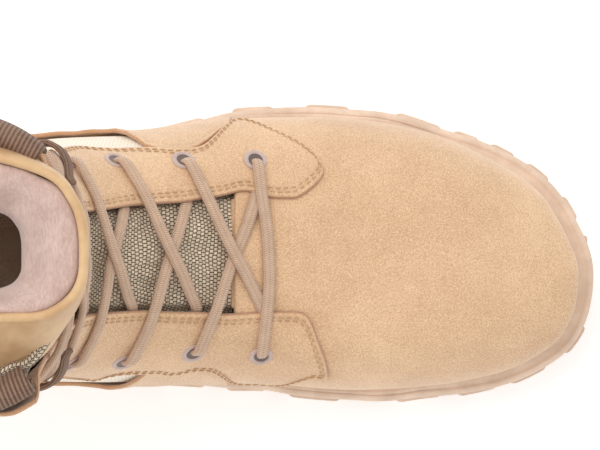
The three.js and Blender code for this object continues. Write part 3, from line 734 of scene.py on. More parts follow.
class BootColours(bpy.types.PropertyGroup):
    suede_light: tint("Suede where the nap stands", 248, 212, 172)
    suede_dark: tint("Suede where the nap lies", 196, 154, 116)
    suede_edge: tint("Raw suede edge", 186, 132, 94)
    nylon_light: tint("Nylon panels", 255, 246, 230)
    # Painted shade between the threads of the nylon panels, with random tone.
    nylon_dark: tint("Nylon panels between threads", 232, 212, 186)
    weave_light: tint("Tongue threads", 255, 236, 206)
    # Painted shade in the gaps of the tongue's weave.
    weave_gap_shade: tint("Gaps in the tongue's weave", 84, 50, 34)
    lining_light: tint("Lining", 220, 192, 180)
    lining_dark: tint("Lining where the pile lies", 188, 156, 144)
    leather_light: tint("Tongue's top leather", 226, 190, 144)
    leather_dark: tint("Tongue's top leather in its hollows", 204, 162, 116)
    rubber_light: tint("Sole", 242, 214, 190)
    rubber_dark: tint("Sole in its hollows", 216, 186, 162)
    lace_light: tint("Lace", 234, 202, 174)
    # Painted shade between the plies of the lace, with random tone.
    lace_dark: tint("Lace between plies", 182, 148, 124)
    # Painted shade between the ribs of the webbing, with random tone.
    webbing_light: tint("Webbing", 158, 128, 108)
    webbing_dark: tint("Webbing between ribs", 92, 66, 54)
    eyelet_light: tint("Eyelets", 214, 192, 182)
    eyelet_dark: tint("Eyelets in shade", 186, 160, 150)
    thread_light: tint("Stitching", 226, 188, 146)
    thread_ply_shade: tint("Stitching between plies", 178, 138, 102)


def length(name, description, default):
    return bpy.props.FloatProperty(name=name, description=description, default=default,
                                   min=default * 0.3, max=default * 3, unit="LENGTH")


class BootSizes(bpy.types.PropertyGroup):
    overlay: length("Overlay", "Thickness of the sewn-on leather pieces", 1.7 * MM)
    stitch_pitch: length("Stitch pitch", "Distance from one stitch to the next", 3.0 * MM)
    weave_pitch: length("Weave pitch", "Width of one thread of the tongue's weave", 1.5 * MM)
    lace_width: length("Lace width", "Width of the lace where it lies flat", 4.7 * MM)
    lace_thickness: length("Lace thickness", "Thickness of the lace", 2.5 * MM)
    binding: length("Binding", "Thickness of the rolled edge of the tongue's top", 3.2 * MM)


PAINTS = {
    "suede": lambda c: suede_paint("suede", c.suede_light[:], c.suede_dark[:]),
    "suede_overlay": lambda c: suede_paint("suede_overlay", c.suede_light[:], c.suede_dark[:],
                                           c.suede_edge[:]),
    "panel_weave": lambda c: cloth_paint("nylon", c.nylon_light[:], c.nylon_dark[:], 1.4),
    "tongue_weave": lambda c: weave_paint("tongue_weave", c.weave_light[:], c.weave_gap_shade[:],
                                          bpy.context.scene.boot_sizes.weave_pitch / MM),
    "lining": lambda c: plush_paint("lining", c.lining_light[:], c.lining_dark[:]),
    "leather": lambda c: leather_paint("leather", c.leather_light[:], c.leather_dark[:]),
    "sole_rubber": lambda c: rubber_paint("sole_rubber", c.rubber_light[:], c.rubber_dark[:]),
    "insole_cloth": lambda c: cloth_paint("insole_cloth", c.nylon_dark[:], c.suede_dark[:], 1.2),
    "eyelet_paint": lambda c: enamel_paint("eyelet_paint", c.eyelet_light[:], c.eyelet_dark[:]),
    "lace_braid": lambda c: braid_paint("lace_braid", c.lace_light[:], c.lace_dark[:]),
    "webbing": lambda c: cloth_paint("webbing", c.webbing_light[:], c.webbing_dark[:], 1.5, 0.4, 0.1, "v"),
    "thread": lambda c: twist_paint("thread", c.thread_light[:], c.thread_ply_shade[:]),
}


MIXED = {}


def paint(name):
    """The material of a name, mixed the first time it is asked for."""
    if name not in MIXED:
        MIXED[name] = PAINTS[name](bpy.context.scene.boot_colours)
    return MIXED[name]


# ------------------------------------------------------------------ sole
def outline_points(count=420):
    """The footprint from above, evenly spaced, counterclockwise from the ball's inner side."""
    angles = np.linspace(-90, 90, 240)
    turn = np.radians(angles)
    radius = TOE_ROUND(angles)
    toe = np.stack([TOE_X + radius * np.cos(turn), CENTRE_Y + radius * np.sin(turn)], axis=1)
    back = np.linspace(TOE_X, HEEL_X, 160)[1:-1]
    heel = np.radians(np.linspace(90, 270, 120))
    points = np.vstack((
        toe,
        np.stack([back, CENTRE_Y + FOOT_WIDTH[1](back) * (1 - TUCK(back))], axis=1),
        np.stack([HEEL_X + HEEL_RADIUS * np.cos(heel), CENTRE_Y + HEEL_RADIUS * np.sin(heel)], axis=1),
        np.stack([back, CENTRE_Y - FOOT_WIDTH[-1](back) * (1 - TUCK(back))], axis=1)[::-1],
    ))
    closed = evenly(np.vstack((points, points[:1])), count + 1)[:-1]
    for _ in range(4):
        closed = (np.roll(closed, 1, 0) + 2 * closed + np.roll(closed, -1, 0)) / 4
    return closed


OUTLINE = outline_points()
STEP = np.roll(OUTLINE, -1, 0) - np.roll(OUTLINE, 1, 0)
OUTWARD = unit(np.stack([STEP[:, 1], -STEP[:, 0]], axis=1))


def edge_outset(x):
    """How far the sole stands out past the upper."""
    return 3.2 + 1.2 * smooth(-x, 80, 120) + 1.2 * smooth(x, 0, 40) + 2.6 * smooth(x, 60, 148)


def rim_at(index, outset):
    """A place on the footprint grown by an outset; the index may lie between points."""
    index = np.asarray(index, float) % len(OUTLINE)
    low = np.floor(index).astype(int) % len(OUTLINE)
    share = (index - np.floor(index))[..., None]
    high = (low + 1) % len(OUTLINE)
    point = OUTLINE[low] * (1 - share) + OUTLINE[high] * share
    normal = OUTWARD[low] * (1 - share) + OUTWARD[high] * share
    return point + normal * np.asarray(outset, float)[..., None]


def band_mesh(bm, levels, joined=False):
    """A band round the footprint. A level has a height curve and a rise above it, then the
    share of the sole's outset that it takes and what is added to that."""
    index = np.arange(len(OUTLINE) + 1)
    x = OUTLINE[index % len(OUTLINE), 0]
    rows = [np.column_stack((rim_at(index, share * edge_outset(x) + extra), curve(x) + rise))
            for curve, rise, share, extra in levels]
    if joined:
        rows.append(rows[0])
    points = np.stack(rows)
    grid_of(bm, points, measured(points))
    bmesh.ops.remove_doubles(bm, verts=bm.verts, dist=1e-4)
    open_edges = [edge for edge in bm.edges if edge.is_boundary]
    if open_edges:
        filled = bmesh.ops.holes_fill(bm, edges=open_edges, sides=0)["faces"]
        bmesh.ops.triangulate(bm, faces=filled)


def nearest_index(x, sign):
    """The place on the footprint with a given x on one side."""
    side = np.where((OUTLINE[:, 1] - CENTRE_Y) * sign > 0)[0]
    return int(side[np.argmin(np.abs(OUTLINE[side, 0] - x))])


SPACING = length_of(np.vstack((OUTLINE, OUTLINE[:1]))) / len(OUTLINE)


def edge_lug(bm, x, sign, long, reach):
    """A moulded lug at the sole's edge: a softened block bent along the outline."""
    made = bmesh.ops.create_cube(bm, size=1)["verts"]
    faces = {f for v in made for f in v.link_faces}
    edges = {e for v in made for e in v.link_edges}
    high = float(SOLE_SPLIT(x) - 1.0 - SOLE_GROUND(x))
    bmesh.ops.scale(bm, verts=made, vec=(long, reach, high))
    bevelled = bmesh.ops.bevel(bm, geom=list(edges), offset=1.3, segments=2, profile=0.5,
                               affect="EDGES", material=-1)
    block = {v for f in bevelled["faces"] for v in f.verts} | {v for v in made if v.is_valid}
    faces = {f for v in block for f in v.link_faces}
    for cut in (-0.3, 0.0, 0.3):
        geometry = list(block) + list({e for v in block for e in v.link_edges}) + list(faces)
        bmesh.ops.bisect_plane(bm, geom=geometry, plane_co=(long * cut, 0, 0), plane_no=(1, 0, 0))
        block = linked_from(next(iter(block)))
        faces = {f for v in block for f in v.link_faces}
    middle = nearest_index(x, sign)
    for vert in block:
        along, depth, level = vert.co
        flare = 1 + 0.10 * (0.5 - level / high)
        out = edge_outset(x) + 1.3 - (reach / 2 - depth)
        place = rim_at(middle + along * flare / SPACING, out)
        ground, split = SOLE_GROUND(place[0]), SOLE_SPLIT(place[0]) - 1.0
        vert.co = (*place, ground + (level / high + 0.5) * (split - ground))


def linked_from(start):
    """Every vertex joined to one by edges."""
    found, queue = {start}, [start]
    while queue:
        for edge in queue.pop().link_edges:
            for vert in edge.verts:
                if vert not in found:
                    found.add(vert)
                    queue.append(vert)
    return found


def centre_lug(bm, x, y, long, wide, turn):
    """A block under the plate, turned in plan and cut to the ground line."""
    made = bmesh.ops.create_cube(bm, size=1)["verts"]
    edges = {e for v in made for e in v.link_edges}
    bmesh.ops.scale(bm, verts=made, vec=(long, wide, 6))
    bevelled = bmesh.ops.bevel(bm, geom=list(edges), offset=1.0, segments=2, profile=0.5,
                               affect="EDGES", material=-1)
    block = {v for f in bevelled["faces"] for v in f.verts} | {v for v in made if v.is_valid}
    cos, sin = math.cos(math.radians(turn)), math.sin(math.radians(turn))
    for vert in block:
        a, b, level = vert.co
        px, py = x + a * cos - b * sin, y + a * sin + b * cos
        ground = float(SOLE_GROUND(px))
        tall = float(SOLE_PLATE(px) - SOLE_GROUND(px)) + 0.6
        vert.co = (px, py, ground + (level + 3) * tall / 6)


def halfway(x):
    return (SOLE_SPLIT(x) + SOLE_TOP(x)) / 2


# Levels of the three bands, from the inside out and round; band_mesh says how they are read.
MIDSOLE_LEVELS = [
    (SOLE_SPLIT, 0.15, 1, -12), (SOLE_SPLIT, 0.15, 1, -1.6), (SOLE_SPLIT, 0.9, 1, -0.8),
    (halfway, -4, 1, -0.7), (SOLE_TOP, -8.4, 1, -0.6), (SOLE_TOP, -7.4, 1, -0.9),
    (SOLE_TOP, -6.6, 1, -0.2), (SOLE_TOP, -5.2, 1, 0), (SOLE_TOP, -3.6, 1, -0.2),
    (SOLE_TOP, -2.2, 1, -0.8), (SOLE_TOP, -1.2, 1, -1.6), (SOLE_TOP, -0.7, 1, -2.4),
    (SOLE_TOP, -1.1, 1, -2.9), (SOLE_TOP, -0.9, 0.4, 0.2), (SOLE_TOP, -0.1, 0, 1.2),
    (SOLE_TOP, 0.3, 0, 0.4), (SOLE_TOP, -0.2, 0, -1.0), (SOLE_TOP, -1.0, 1, -12),
]
OUTSOLE_LEVELS = [
    (SOLE_SPLIT, -0.15, 1, -12), (SOLE_SPLIT, -0.15, 1, -1.2), (SOLE_SPLIT, -0.7, 1, -0.4),
    (SOLE_SPLIT, -2.0, 1, 0), (SOLE_PLATE, 1.2, 1, 0), (SOLE_PLATE, 0.3, 1, -0.4),
    (SOLE_PLATE, 0, 1, -1.4), (SOLE_PLATE, 0, 0, -6), (SOLE_PLATE, 0, 0, -13),
    (SOLE_PLATE, 0, 0, -20), (SOLE_PLATE, 0, 0, -27),
]
INSOLE_LEVELS = [
    (SOLE_TOP, 0.5, 0, -8), (SOLE_TOP, 0.5, 0, -3.4), (SOLE_TOP, 2.0, 0, -3.0),
    (SOLE_TOP, 4.6, 0, -3.1), (SOLE_TOP, 4.4, 0, -4.2), (SOLE_TOP, 4.0, 0, -7),
    (SOLE_TOP, 3.8, 0, -13), (SOLE_TOP, 3.7, 0, -20), (SOLE_TOP, 3.7, 0, -27),
]
CENTRE_LUGS = (-118, -98, 2, 28, 54, 80, 104)
# Side lugs: x of the middle, length along the edge, reach in under the sole.
EDGE_LUGS = {
    1: [(-138, 17, 26), (-116, 15, 24), (-93, 17, 26), (-8, 15, 26), (20, 15, 30), (49, 16, 30),
        (83.5, 17, 28), (102, 9, 24), (115, 9, 22), (127, 9, 20), (137, 9, 20)],
    -1: [(-138, 17, 26), (-116, 15, 24), (-93, 17, 26), (-8, 15, 26), (17, 15, 28), (43.5, 19, 28),
         (83.5, 17, 26), (106, 14, 24), (125, 13, 22), (139, 10, 20)],
}


class BOOT_OT_sole(bpy.types.Operator):
    """Midsole band, outsole plate and lugs, and the insole"""
    bl_idname = "boot.sole"
    bl_label = "Sole"

    def execute(self, context):
        bm = bmesh.new()
        band_mesh(bm, MIDSOLE_LEVELS, joined=True)
        self.piece(bm, "midsole_band", "sole_rubber", "midsole_rubber", "midsole")
        bm = bmesh.new()
        band_mesh(bm, OUTSOLE_LEVELS)
        self.lugs(bm)
        self.piece(bm, "outsole_treads", "sole_rubber", "sole_rubber", "outsole")
        bm = bmesh.new()
        band_mesh(bm, INSOLE_LEVELS)
        self.piece(bm, "insole_board", "insole_cloth", "insole_cloth", "insole")
        return {"FINISHED"}

    def piece(self, bm, name, material, slot, node):
        bmesh.ops.recalc_face_normals(bm, faces=bm.faces)
        publish(bm, name, paint(material), replaces=[node])

    def lugs(self, bm):
        for sign, lugs in EDGE_LUGS.items():
            for x, long, reach in lugs:
                edge_lug(bm, x, sign, long, reach)
        for x in CENTRE_LUGS:
            for side in (1, -1):
                centre_lug(bm, x, CENTRE_Y + 7.5 * side, 12, 17, 28 * side)
        centre_lug(bm, 143, CENTRE_Y - 6, 15, 30, 0)


# ------------------------------------------------------------------ upper
VAMP_BACK = 13.5
TOE_PIVOT = 98.0
# The upper starts this far below the midsole's top.
SUNK = 2.5
# Folds: start and end in plan, width, depth (below 0 for a ridge).
VAMP_CREASES = [
    ((30, -30), (26, 26), 4.0, 0.35), ((41, -44), (37, -8), 4.5, 0.3),
    ((35, 44), (38, 8), 4.5, 0.3), ((22, -16), (24, 14), 3.0, -0.25),
]


class BOOT_OT_vamp(bpy.types.Operator):
    """Vamp and toe, one piece of suede lasted over the toe"""
    bl_idname = "boot.vamp"
    bl_label = "Vamp"

    def execute(self, context):
        turns = np.radians(np.linspace(-90, 90, 141))
        outward = np.cos(turns)[None, :, None]
        across = np.array([0, 1, 0]) * np.sin(turns)[None, :, None]
        tilt = np.radians(np.linspace(8, 90, 40))
        fan = np.stack([np.cos(tilt), 0 * tilt, np.sin(tilt)], axis=1)
        pivot = np.array([TOE_PIVOT, CENTRE_Y, float(SOLE_TOP(TOE_PIVOT)) - SUNK])
        toe = cast(pivot, fan[:, None] * outward + across)
        long = TOE_PIVOT - VAMP_BACK
        share = rimmed(56, long)[1:] / long
        back = VAMP_BACK - 16 * smooth(np.abs(np.degrees(turns)), 30, 46)
        x = TOE_PIVOT + (back[None, :] - TOE_PIVOT) * share[:, None]
        start = np.stack([x, np.full(x.shape, float(CENTRE_Y)), SOLE_TOP(x) - SUNK], axis=-1)
        body = cast(start, np.array([0.0, 0.0, 1.0]) * outward + across)
        points = np.concatenate((toe, body))
        edge = np.concatenate((np.full(toe.shape[:2], 30.0), (x - back[None, :])))
        edge = np.minimum(edge, 30.0)
        relief = 0.22 * ripple(points, 46, 3) + 0.08 * ripple(points, 17, 5)
        relief = relief + sum(crease(points, *fold) for fold in VAMP_CREASES)
        outer = lift(points, relief * smooth(edge, 0, 6) - 0.8 * (1 - round_rim(edge, 1.2)))
        inner = lift(points, np.full(edge.shape, -2.2))
        skin("vamp", outer, inner, paint("suede"), "suede", replaces=["upper"])
        return {"FINISHED"}


# The shaft's cloth stays behind this x, and beside the throat outside these widths by height.
FRONT_LIMIT = 2.0
EDGE_BY_Z = {
    1: Curve((40, 23), (72, 23), (84, 21), (104, 17), (124, 16.3), (148, 20.2), (207, 30.2), (240, 37)),
    -1: Curve((40, -21.5), (72, -21.5), (84, -20), (104, -20), (124, -23.9), (148, -28.4),
              (207, -37.9), (240, -44)),
}
SHAFT_X = -92.0


def around_shaft(z, turn):
    """Where level rays from the shaft's axis meet the form; turn in degrees from straight ahead."""
    z, turn = np.broadcast_arrays(np.asarray(z, float), np.asarray(turn, float))
    way = np.radians(turn)
    origin = np.stack([np.full(z.shape, SHAFT_X), np.full(z.shape, float(CENTRE_Y)), z], axis=-1)
    return cast(origin, np.stack([np.cos(way), np.sin(way), 0 * way], axis=-1))


def opening_turn(z, sign, inset=0.0):
    """The turn at which the wall starts at each height, beside the throat or behind the vamp."""
    low, high = np.zeros(z.shape), np.full(z.shape, 150.0)
    for _ in range(16):
        middle = (low + high) / 2
        p = around_shaft(z, middle * sign)
        inside = (p[..., 0] <= FRONT_LIMIT) & ((p[..., 1] - EDGE_BY_Z[sign](z)) * sign >= inset)
        low, high = np.where(inside, low, middle), np.where(inside, middle, high)
    return high


COLLAR_Z = 225.0
ROLL_LOW = 188.0
# Folds at the ankle: start and end as (x, z), width, depth.
ANKLE_CREASES = [
    ((-58, 104), (-118, 112), 6.0, 1.3), ((-62, 120), (-112, 132), 7.0, 1.1),
    ((-54, 92), (-96, 97), 5.0, -0.6), ((-70, 150), (-126, 144), 8.0, 0.9),
    ((-60, 112), (-104, 121), 5.0, -0.7),
]


class BOOT_OT_shaft(bpy.types.Operator):
    """Nylon shaft, its lining and the padded roll inside the collar"""
    bl_idname = "boot.shaft"
    bl_label = "Shaft"

    def execute(self, context):
        z = 21 + rimmed(90, COLLAR_Z - 21)
        first, last = opening_turn(z, 1, 3.5), opening_turn(z, -1, 3.5)
        share = np.linspace(0, 1, 150)
        turn = first[:, None] + (360 - last - first)[:, None] * share[None, :]
        points = around_shaft(z[:, None], turn)
        relief = self.relief(points)
        skin("shaft_nylon", lift(points, relief - 0.3), lift(points, relief - 1.3), paint("panel_weave"),
             "panel_weave")
        z = 34 + rimmed(80, COLLAR_Z + 0.6 - 34)
        first, last = opening_turn(z, 1, 5.0), opening_turn(z, -1, 5.0)
        turn = first[:, None] + (360 - last - first)[:, None] * share[None, :]
        points = around_shaft(z[:, None], turn)
        rise = np.clip((z - ROLL_LOW) / (COLLAR_Z - ROLL_LOW), 0, 1)
        roll = 5.0 * np.clip(np.sin(np.pi * rise), 0, 1) ** 0.7
        roll = roll[:, None] * smooth(share, 0.0, 0.06)[None, :] * smooth(1 - share, 0.0, 0.06)[None, :]
        tuft = 0.35 * ripple(points, 16, 12)
        relief = self.relief(points)
        skin("shaft_lining", lift(points, relief - 1.35), lift(points, relief - 2.4 - roll + tuft * 0.6),
             paint("lining"), "lining")
        return {"FINISHED"}

    def relief(self, points):
        """How far the shaft's cloth stands off the form: soft waves, and creases at the ankle."""
        waves = 0.5 * ripple(points, 60, 8) + 0.15 * ripple(points, 22, 9)
        ankle = sum(crease(points[..., ::2], *fold) for fold in ANKLE_CREASES)
        return (waves + ankle) * smooth(points[..., 2], 70, 100)


QUARTER_TOP = Curve((-150, 95), (-128, 92), (-110, 82), (-85, 64), (-60, 52), (-42, 48), (-32, 53),
                    (-25, 64), (-19, 71), (-12, 72), (-4, 70), (3, 63), (8, 55), (12, 50))
QUARTER_LEAN = {1: Curve((-110, 0), (-75, 0.7), (-40, 1.3), (-28, 1.0), (-20, 0.0)),
                -1: Curve((-80, 0), (-50, 0.2), (-36, 1.1), (-26, 1.0), (-18, 0.0))}
COUNTER_TOP = Curve((-150, 78), (-124, 76), (-98, 69), (-76, 56), (-61, 42))


def round_heel(front_x, top, rows, cols):
    """Level rays out to the form round the heel, from one side's front to the other's."""
    start, stop = nearest_index(front_x, 1), nearest_index(front_x, -1)
    total = (stop - start) * SPACING
    along = rimmed(cols, total)
    flat = rim_at(start + along / SPACING, 0 * along)
    x = np.maximum(flat[:, 0], HEEL_X)
    centre = np.column_stack((x, np.full(x.shape, float(CENTRE_Y))))
    direction = unit(np.column_stack((flat - centre, 0 * x)))
    low = SOLE_TOP(flat[:, 0]) - 3
    high = top(flat[:, 0])
    tall = high - low
    up = np.stack([np.concatenate((np.linspace(0, t - 1.0, rows), [t - 0.45, t - 0.12, t]))
                   for t in tall], axis=1)
    z = low[None, :] + up
    origin = np.stack([np.broadcast_to(x, z.shape), np.full(z.shape, float(CENTRE_Y)), z], axis=-1)
    points = cast(origin, np.broadcast_to(direction, z.shape + (3,)))
    front = np.minimum(along, total - along)[None, :] + 0 * z
    edge = np.minimum(tall[None, :] - up, front)
    return points, edge


def overlay(name, points, edge, low, high, slot="suede_overlay", relief=0.0, lean=0.0, replaces=()):
    """A sewn-on leather piece: rounded raw rim, a shallow valley where it is sewn down."""
    body = relief * smooth(edge, 0, 6) + lean
    valley = 0.2 * np.exp(-(((edge - 3.0) / 1.5) ** 2))
    outer = lift(points, low + (high - low) * round_rim(edge) - valley + body)
    inner = lift(points, np.full(edge.shape, float(low)) + body)
    return skin(name, outer, inner, paint(slot), slot, {"edge": edge}, replaces)


class BOOT_OT_quarters(bpy.types.Operator):
    """Suede quarters round the heel, heel counter, backstay and collar band"""
    bl_idname = "boot.quarters"
    bl_label = "Quarters"

    def execute(self, context):
        points, edge = round_heel(11, QUARTER_TOP, 44, 260)
        above = points[..., 2] - QUARTER_TOP(points[..., 0])
        lean = by_side(QUARTER_LEAN, points[..., 1], points[..., 0]) * smooth(above, -15, 0)
        lean = lean * (1 + 0.2 * ripple(points, 9, 20))
        relief = 0.3 * ripple(points, 40, 21) + 0.1 * ripple(points, 15, 22)
        overlay("quarters", points, edge, -0.1, 1.6, lean=lean, relief=relief)
        points, edge = round_heel(-61, COUNTER_TOP, 30, 150)
        overlay("counter", points, edge, 1.2, 2.7, relief=0.12 * ripple(points, 30, 23),
                replaces=["heel_counter"])
        halves = ((86, 14), (120, 14), (160, 15), (200, 17), (224, 21))
        stay = Strip(*([(-150, CENTRE_Y + sign * half, z) for z, half in halves] for sign in (1, -1)))
        points, edge = stay.grid(80, 22)
        overlay("backstay", points, edge, -0.2, 1.4, relief=0.25 * ripple(points, 34, 24))
        low, high = 203, COLLAR_Z + 0.5
        z = low + rimmed(16, high - low)
        first, last = 70.0, 290.0
        share = rimmed(150, 200.0) / 200.0
        turn = first + (last - first) * share[None, :] + 0 * z[:, None]
        points = around_shaft(z[:, None] + 0 * turn, turn)
        edge = np.minimum(z - low, high - z)[:, None] + 0 * turn
        overlay("collar_band", points, edge, 0.0, 1.5, relief=0.2 * ripple(points, 40, 25))
        return {"FINISHED"}


FACING_EDGES = {
    1: ([(45.5, 34.5), (46.5, 30), (43.5, 26), (37.5, 21.7), (33.7, 21), (26.2, 21.3), (16.9, 23.5),
         (7.7, 21.6), (0.5, 20.5), (-6.7, 19.3), (-17.4, 18.5), (-27.8, 17.4, 98), (-39.5, 15.9, 115),
         (-42, 17, 132), (-44, 21, 160), (-48, 28, 195), (-51, 33, 224)],
        [(44.3, 35.7), (37.5, 42.1), (31.8, 45), (26, 47.4), (14.5, 50.7, 45), (10, 47.5, 50), (5.3, 43, 60),
         (-0.2, 39.8), (-9.3, 38.9), (-18.4, 39.2), (-29, 38.8), (-39, 38.8), (-48, 39.0),
         (-56.4, 39.0, 120), (-66, 40, 150), (-72, 41, 190), (-76, 43, 224)]),
    -1: ([(48.9, -43, 52), (47.4, -37, 58), (44.7, -31.5, 63), (41.6, -24.6, 68), (39, -22.1), (34.1, -21.3),
          (21, -21.5), (10.7, -21.9), (0.4, -21.2), (-9.6, -20.9), (-18.5, -20.3), (-31.9, -21.1, 104),
          (-40, -22.2, 117), (-44, -25, 130), (-47, -29, 152), (-50, -36, 195), (-53, -41, 224)],
         [(47.6, -44.7, 48), (42.1, -46.3), (35.8, -48), (30.4, -49.2), (26, -50.1), (19.5, -50.7),
          (13.3, -51.7, 42), (9.9, -48.2, 46), (7.4, -45.6, 52), (2.8, -43.8), (-3.3, -43.4),
          (-9.2, -44.5), (-13.5, -44.7), (-18, -44.0), (-28.9, -44.0), (-35.8, -45.0),
          (-43.1, -46.2), (-51, -47, 90), (-62, -48, 125), (-68, -48, 165), (-74, -49, 224)]),
}
FLAP_LEAN = {1: 0.5, -1: 5.0}
SIDE_NAMES = {1: "lateral", -1: "medial"}
FACINGS = {sign: Strip(*edges) for sign, edges in FACING_EDGES.items()}


class BOOT_OT_facings(bpy.types.Operator):
    """The two eyelet facings, cut from suede and sewn along every edge"""
    bl_idname = "boot.facings"
    bl_label = "Facings"

    def execute(self, context):
        thick = context.scene.boot_sizes.overlay / MM
        for sign, strip in FACINGS.items():
            points, edge = strip.grid(230, 34)
            relief = 0.25 * ripple(points, 26, 30 + sign) + 0.1 * ripple(points, 11, 33 + sign)
            lean = FLAP_LEAN[sign] * smooth(points[..., 2], 200, 224) * smooth(points[..., 0], -72, -58)
            overlay("facing_" + SIDE_NAMES[sign], points, edge, 0.2, 0.2 + thick, relief=relief, lean=lean,
                    replaces=["eyestay_" + SIDE_NAMES[sign]])
        return {"FINISHED"}


# ------------------------------------------------------------------ tongue
TONGUE_START, TONGUE_END = 80.0, 311.0
TONGUE_FOLDS = [
    ((6, -2), (-9, 8), 2.6, 1.6), ((-16, 16), (-24, 0), 3.0, 1.2), ((-8, -16), (-22, -10), 2.6, 1.3),
    ((-2, 14), (8, 6), 3.2, -0.9), ((-14, -2), (-20, 12), 3.0, -1.0), ((-30, -14), (-36, 6), 3.0, 1.3),
    ((-27, 10), (-33, -4), 3.0, -1.0), ((4, -17), (-6, -12), 3.0, -0.8),
]


# The pad's profile: distance inward from the rim, height above it.
PAD_SHAPE = [(3.0, -1.4), (4.6, -0.2), (7.5, 0.2), (10.5, -0.8), (13.8, -3.0), (17.2, -6.5),
             (20.8, -11.5), (23.0, -18.5), (21.5, -27.0), (14.0, -35.0)]


class BOOT_OT_tongue(bpy.types.Operator):
    """Woven tongue with its folds, the suede strip at its root and the padded leather top"""
    bl_idname = "boot.tongue"
    bl_label = "Tongue"

    def execute(self, context):
        self.woven()
        self.strip()
        self.top(context.scene.boot_sizes.binding / MM)
        return {"FINISHED"}

    def woven(self):
        run = np.linspace(TONGUE_START, TONGUE_END, 190)
        left = angle_at(run, THROAT[1](run) + 9)
        right = angle_at(run, THROAT[-1](run) - 7)
        angle = left[:, None] + (right - left)[:, None] * np.linspace(0, 1, 80)[None, :]
        points = on_form(run[:, None], angle)
        y = points[..., 1]
        under = np.maximum(y - THROAT[1](run)[:, None], THROAT[-1](run)[:, None] - y)
        folds = 1.4 * sum(crease(points, *fold) for fold in TONGUE_FOLDS)
        folds = folds + 0.5 * ripple(points, 20, 41) + 0.2 * ripple(points, 8, 42)
        seam = -0.7 * np.exp(-(((y + 4.5) / 0.9) ** 2)) * smooth(run, 88, 96)[:, None]
        swell = 0.9 * np.exp(-(((y - 6) / 9) ** 2))
        depth = -3.0 - 2.2 * smooth(under, -1.5, 3) + (folds + seam + swell) * smooth(-under, 0, 5)
        skin("tongue_weave", lift(points, depth), lift(points, depth - 3.4), paint("tongue_weave"),
             "tongue_weave", replaces=["tongue"])

    def strip(self):
        run = 79 + rimmed(10, 11.5)
        across = rimmed(60, 40.0) / 40.0
        left, right = angle_at(run, np.full(run.shape, 21.5)), angle_at(run, np.full(run.shape, -20.5))
        angle = left[:, None] + (right - left)[:, None] * across[None, :]
        points = on_form(run[:, None], angle)
        edge = np.broadcast_to((run[-1] - run)[:, None], angle.shape)
        outer = lift(points, -2.4 + 0.9 * round_rim(edge) - 0.4 * np.exp(-((edge - 3) / 1.2) ** 2))
        skin("tongue_root", outer, lift(points, np.full(angle.shape, -3.1)), paint("suede_overlay"),
             "suede_overlay", {"edge": edge + 1.2})

    def top(self, roll):
        rim = path_through(TOP_RIM, 150)
        foot = path_through(TOP_FOOT, 150)
        inward = np.array([-86.0, -2.0, 0.0]) - rim
        inward[:, 2] = 0
        inward = unit(inward)
        up = np.array([0, 0, 1.0])
        half = roll / 2
        side = np.linspace(0, 1, 22)[:, None, None]
        bow = np.sin(np.pi * side) * 2.0
        face = foot[None] * (1 - side) + rim[None] * side - inward[None] * bow
        face = face - inward[None] * (0.35 * ripple(face, 24, 51))[..., None]
        shape = path_through(PAD_SHAPE, 34)
        pad = rim[None] + inward[None] * shape[:, :1, None] + up * shape[:, 1:2, None]
        pad = pad + inward[None] * (0.5 * ripple(pad, 18, 52))[..., None]
        behind = foot[None] + inward[None] * 2.4
        self.closed("tongue_top", face, behind, rim, half, inward, "leather", "suede_overlay")
        bm = bmesh.new()
        ups = unit(up - inward * 0.2)
        tube_mesh(bm, rim + inward * half * 0.9, ups, np.full(len(rim), roll),
                  np.full(len(rim), roll * 0.92), 14)
        close_up(bm)
        publish(bm, "tongue_binding", paint("leather"))
        back = np.stack([pad[-1] + (foot + inward * 2.6 - pad[-1]) * t for t in (0.5, 1.0)])
        front = foot[None] * (1 - side[::-1][4:]) + rim[None] * side[::-1][4:] + inward[None] * 2.2
        ring = np.concatenate((front[-1:], pad, back))
        bm = bmesh.new()
        loop = np.concatenate((ring, ring[:1]))
        loop[:, 0] = loop[:, :1].mean(axis=0)
        loop[:, -1] = loop[:, -1:].mean(axis=0)
        grid_of(bm, loop, measured(loop))
        close_up(bm)
        ends = [e for e in bm.edges if e.is_boundary]
        if ends:
            bmesh.ops.holes_fill(bm, edges=ends, sides=0)
        bmesh.ops.recalc_face_normals(bm, faces=bm.faces)
        pad_piece = publish(bm, "tongue_pad", paint("lining"))

    def closed(self, name, face, low_inner, rim, half, inward, material, slot):
        high_inner = rim + inward * half * 1.2
        levels = np.linspace(0, 1, len(face))[:, None, None]
        inner = low_inner * (1 - levels) + high_inner[None] * levels
        skin(name, face, inner, paint(material), slot)


TOP_RIM = [(-84, -23, 234), (-75, -22, 235), (-58, -20, 236), (-45, -19, 236.5), (-36.3, -14, 236.5),
           (-32, -7, 236.5), (-31.2, 2, 236.5), (-32, 12, 236), (-35, 20, 236), (-42, 28, 235.5),
           (-58.6, 34, 235), (-75, 36, 234), (-84, 36, 233)]
TOP_FOOT = [(-84, -45, 204), (-74, -44, 205), (-60, -41, 206), (-49, -34, 206), (-41, -22, 206),
            (-38.6, -10, 205), (-38.2, 2, 205), (-38.8, 14, 206), (-42, 23, 207), (-49, 30, 208),
            (-60, 36.5, 209), (-75, 39.5, 210), (-84, 40, 210)]


# ------------------------------------------------------------------ eyelets and webbing
def boot_point(corner):
    return np.array(corner) / MM - FRAME_SHIFT


def middle_of(node):
    low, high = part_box(node)
    return (boot_point(low) + boot_point(high)) / 2


def run_of(point):
    """The run along the spine whose section holds a point."""
    low, high = 0.0, float(SPINE_END)
    for _ in range(20):
        middle = (low + high) / 2
        centre, forward, _ = spine_frame(np.array(middle))
        if np.dot(point - centre, forward) > 0:
            high = middle
        else:
            low = middle
    return low


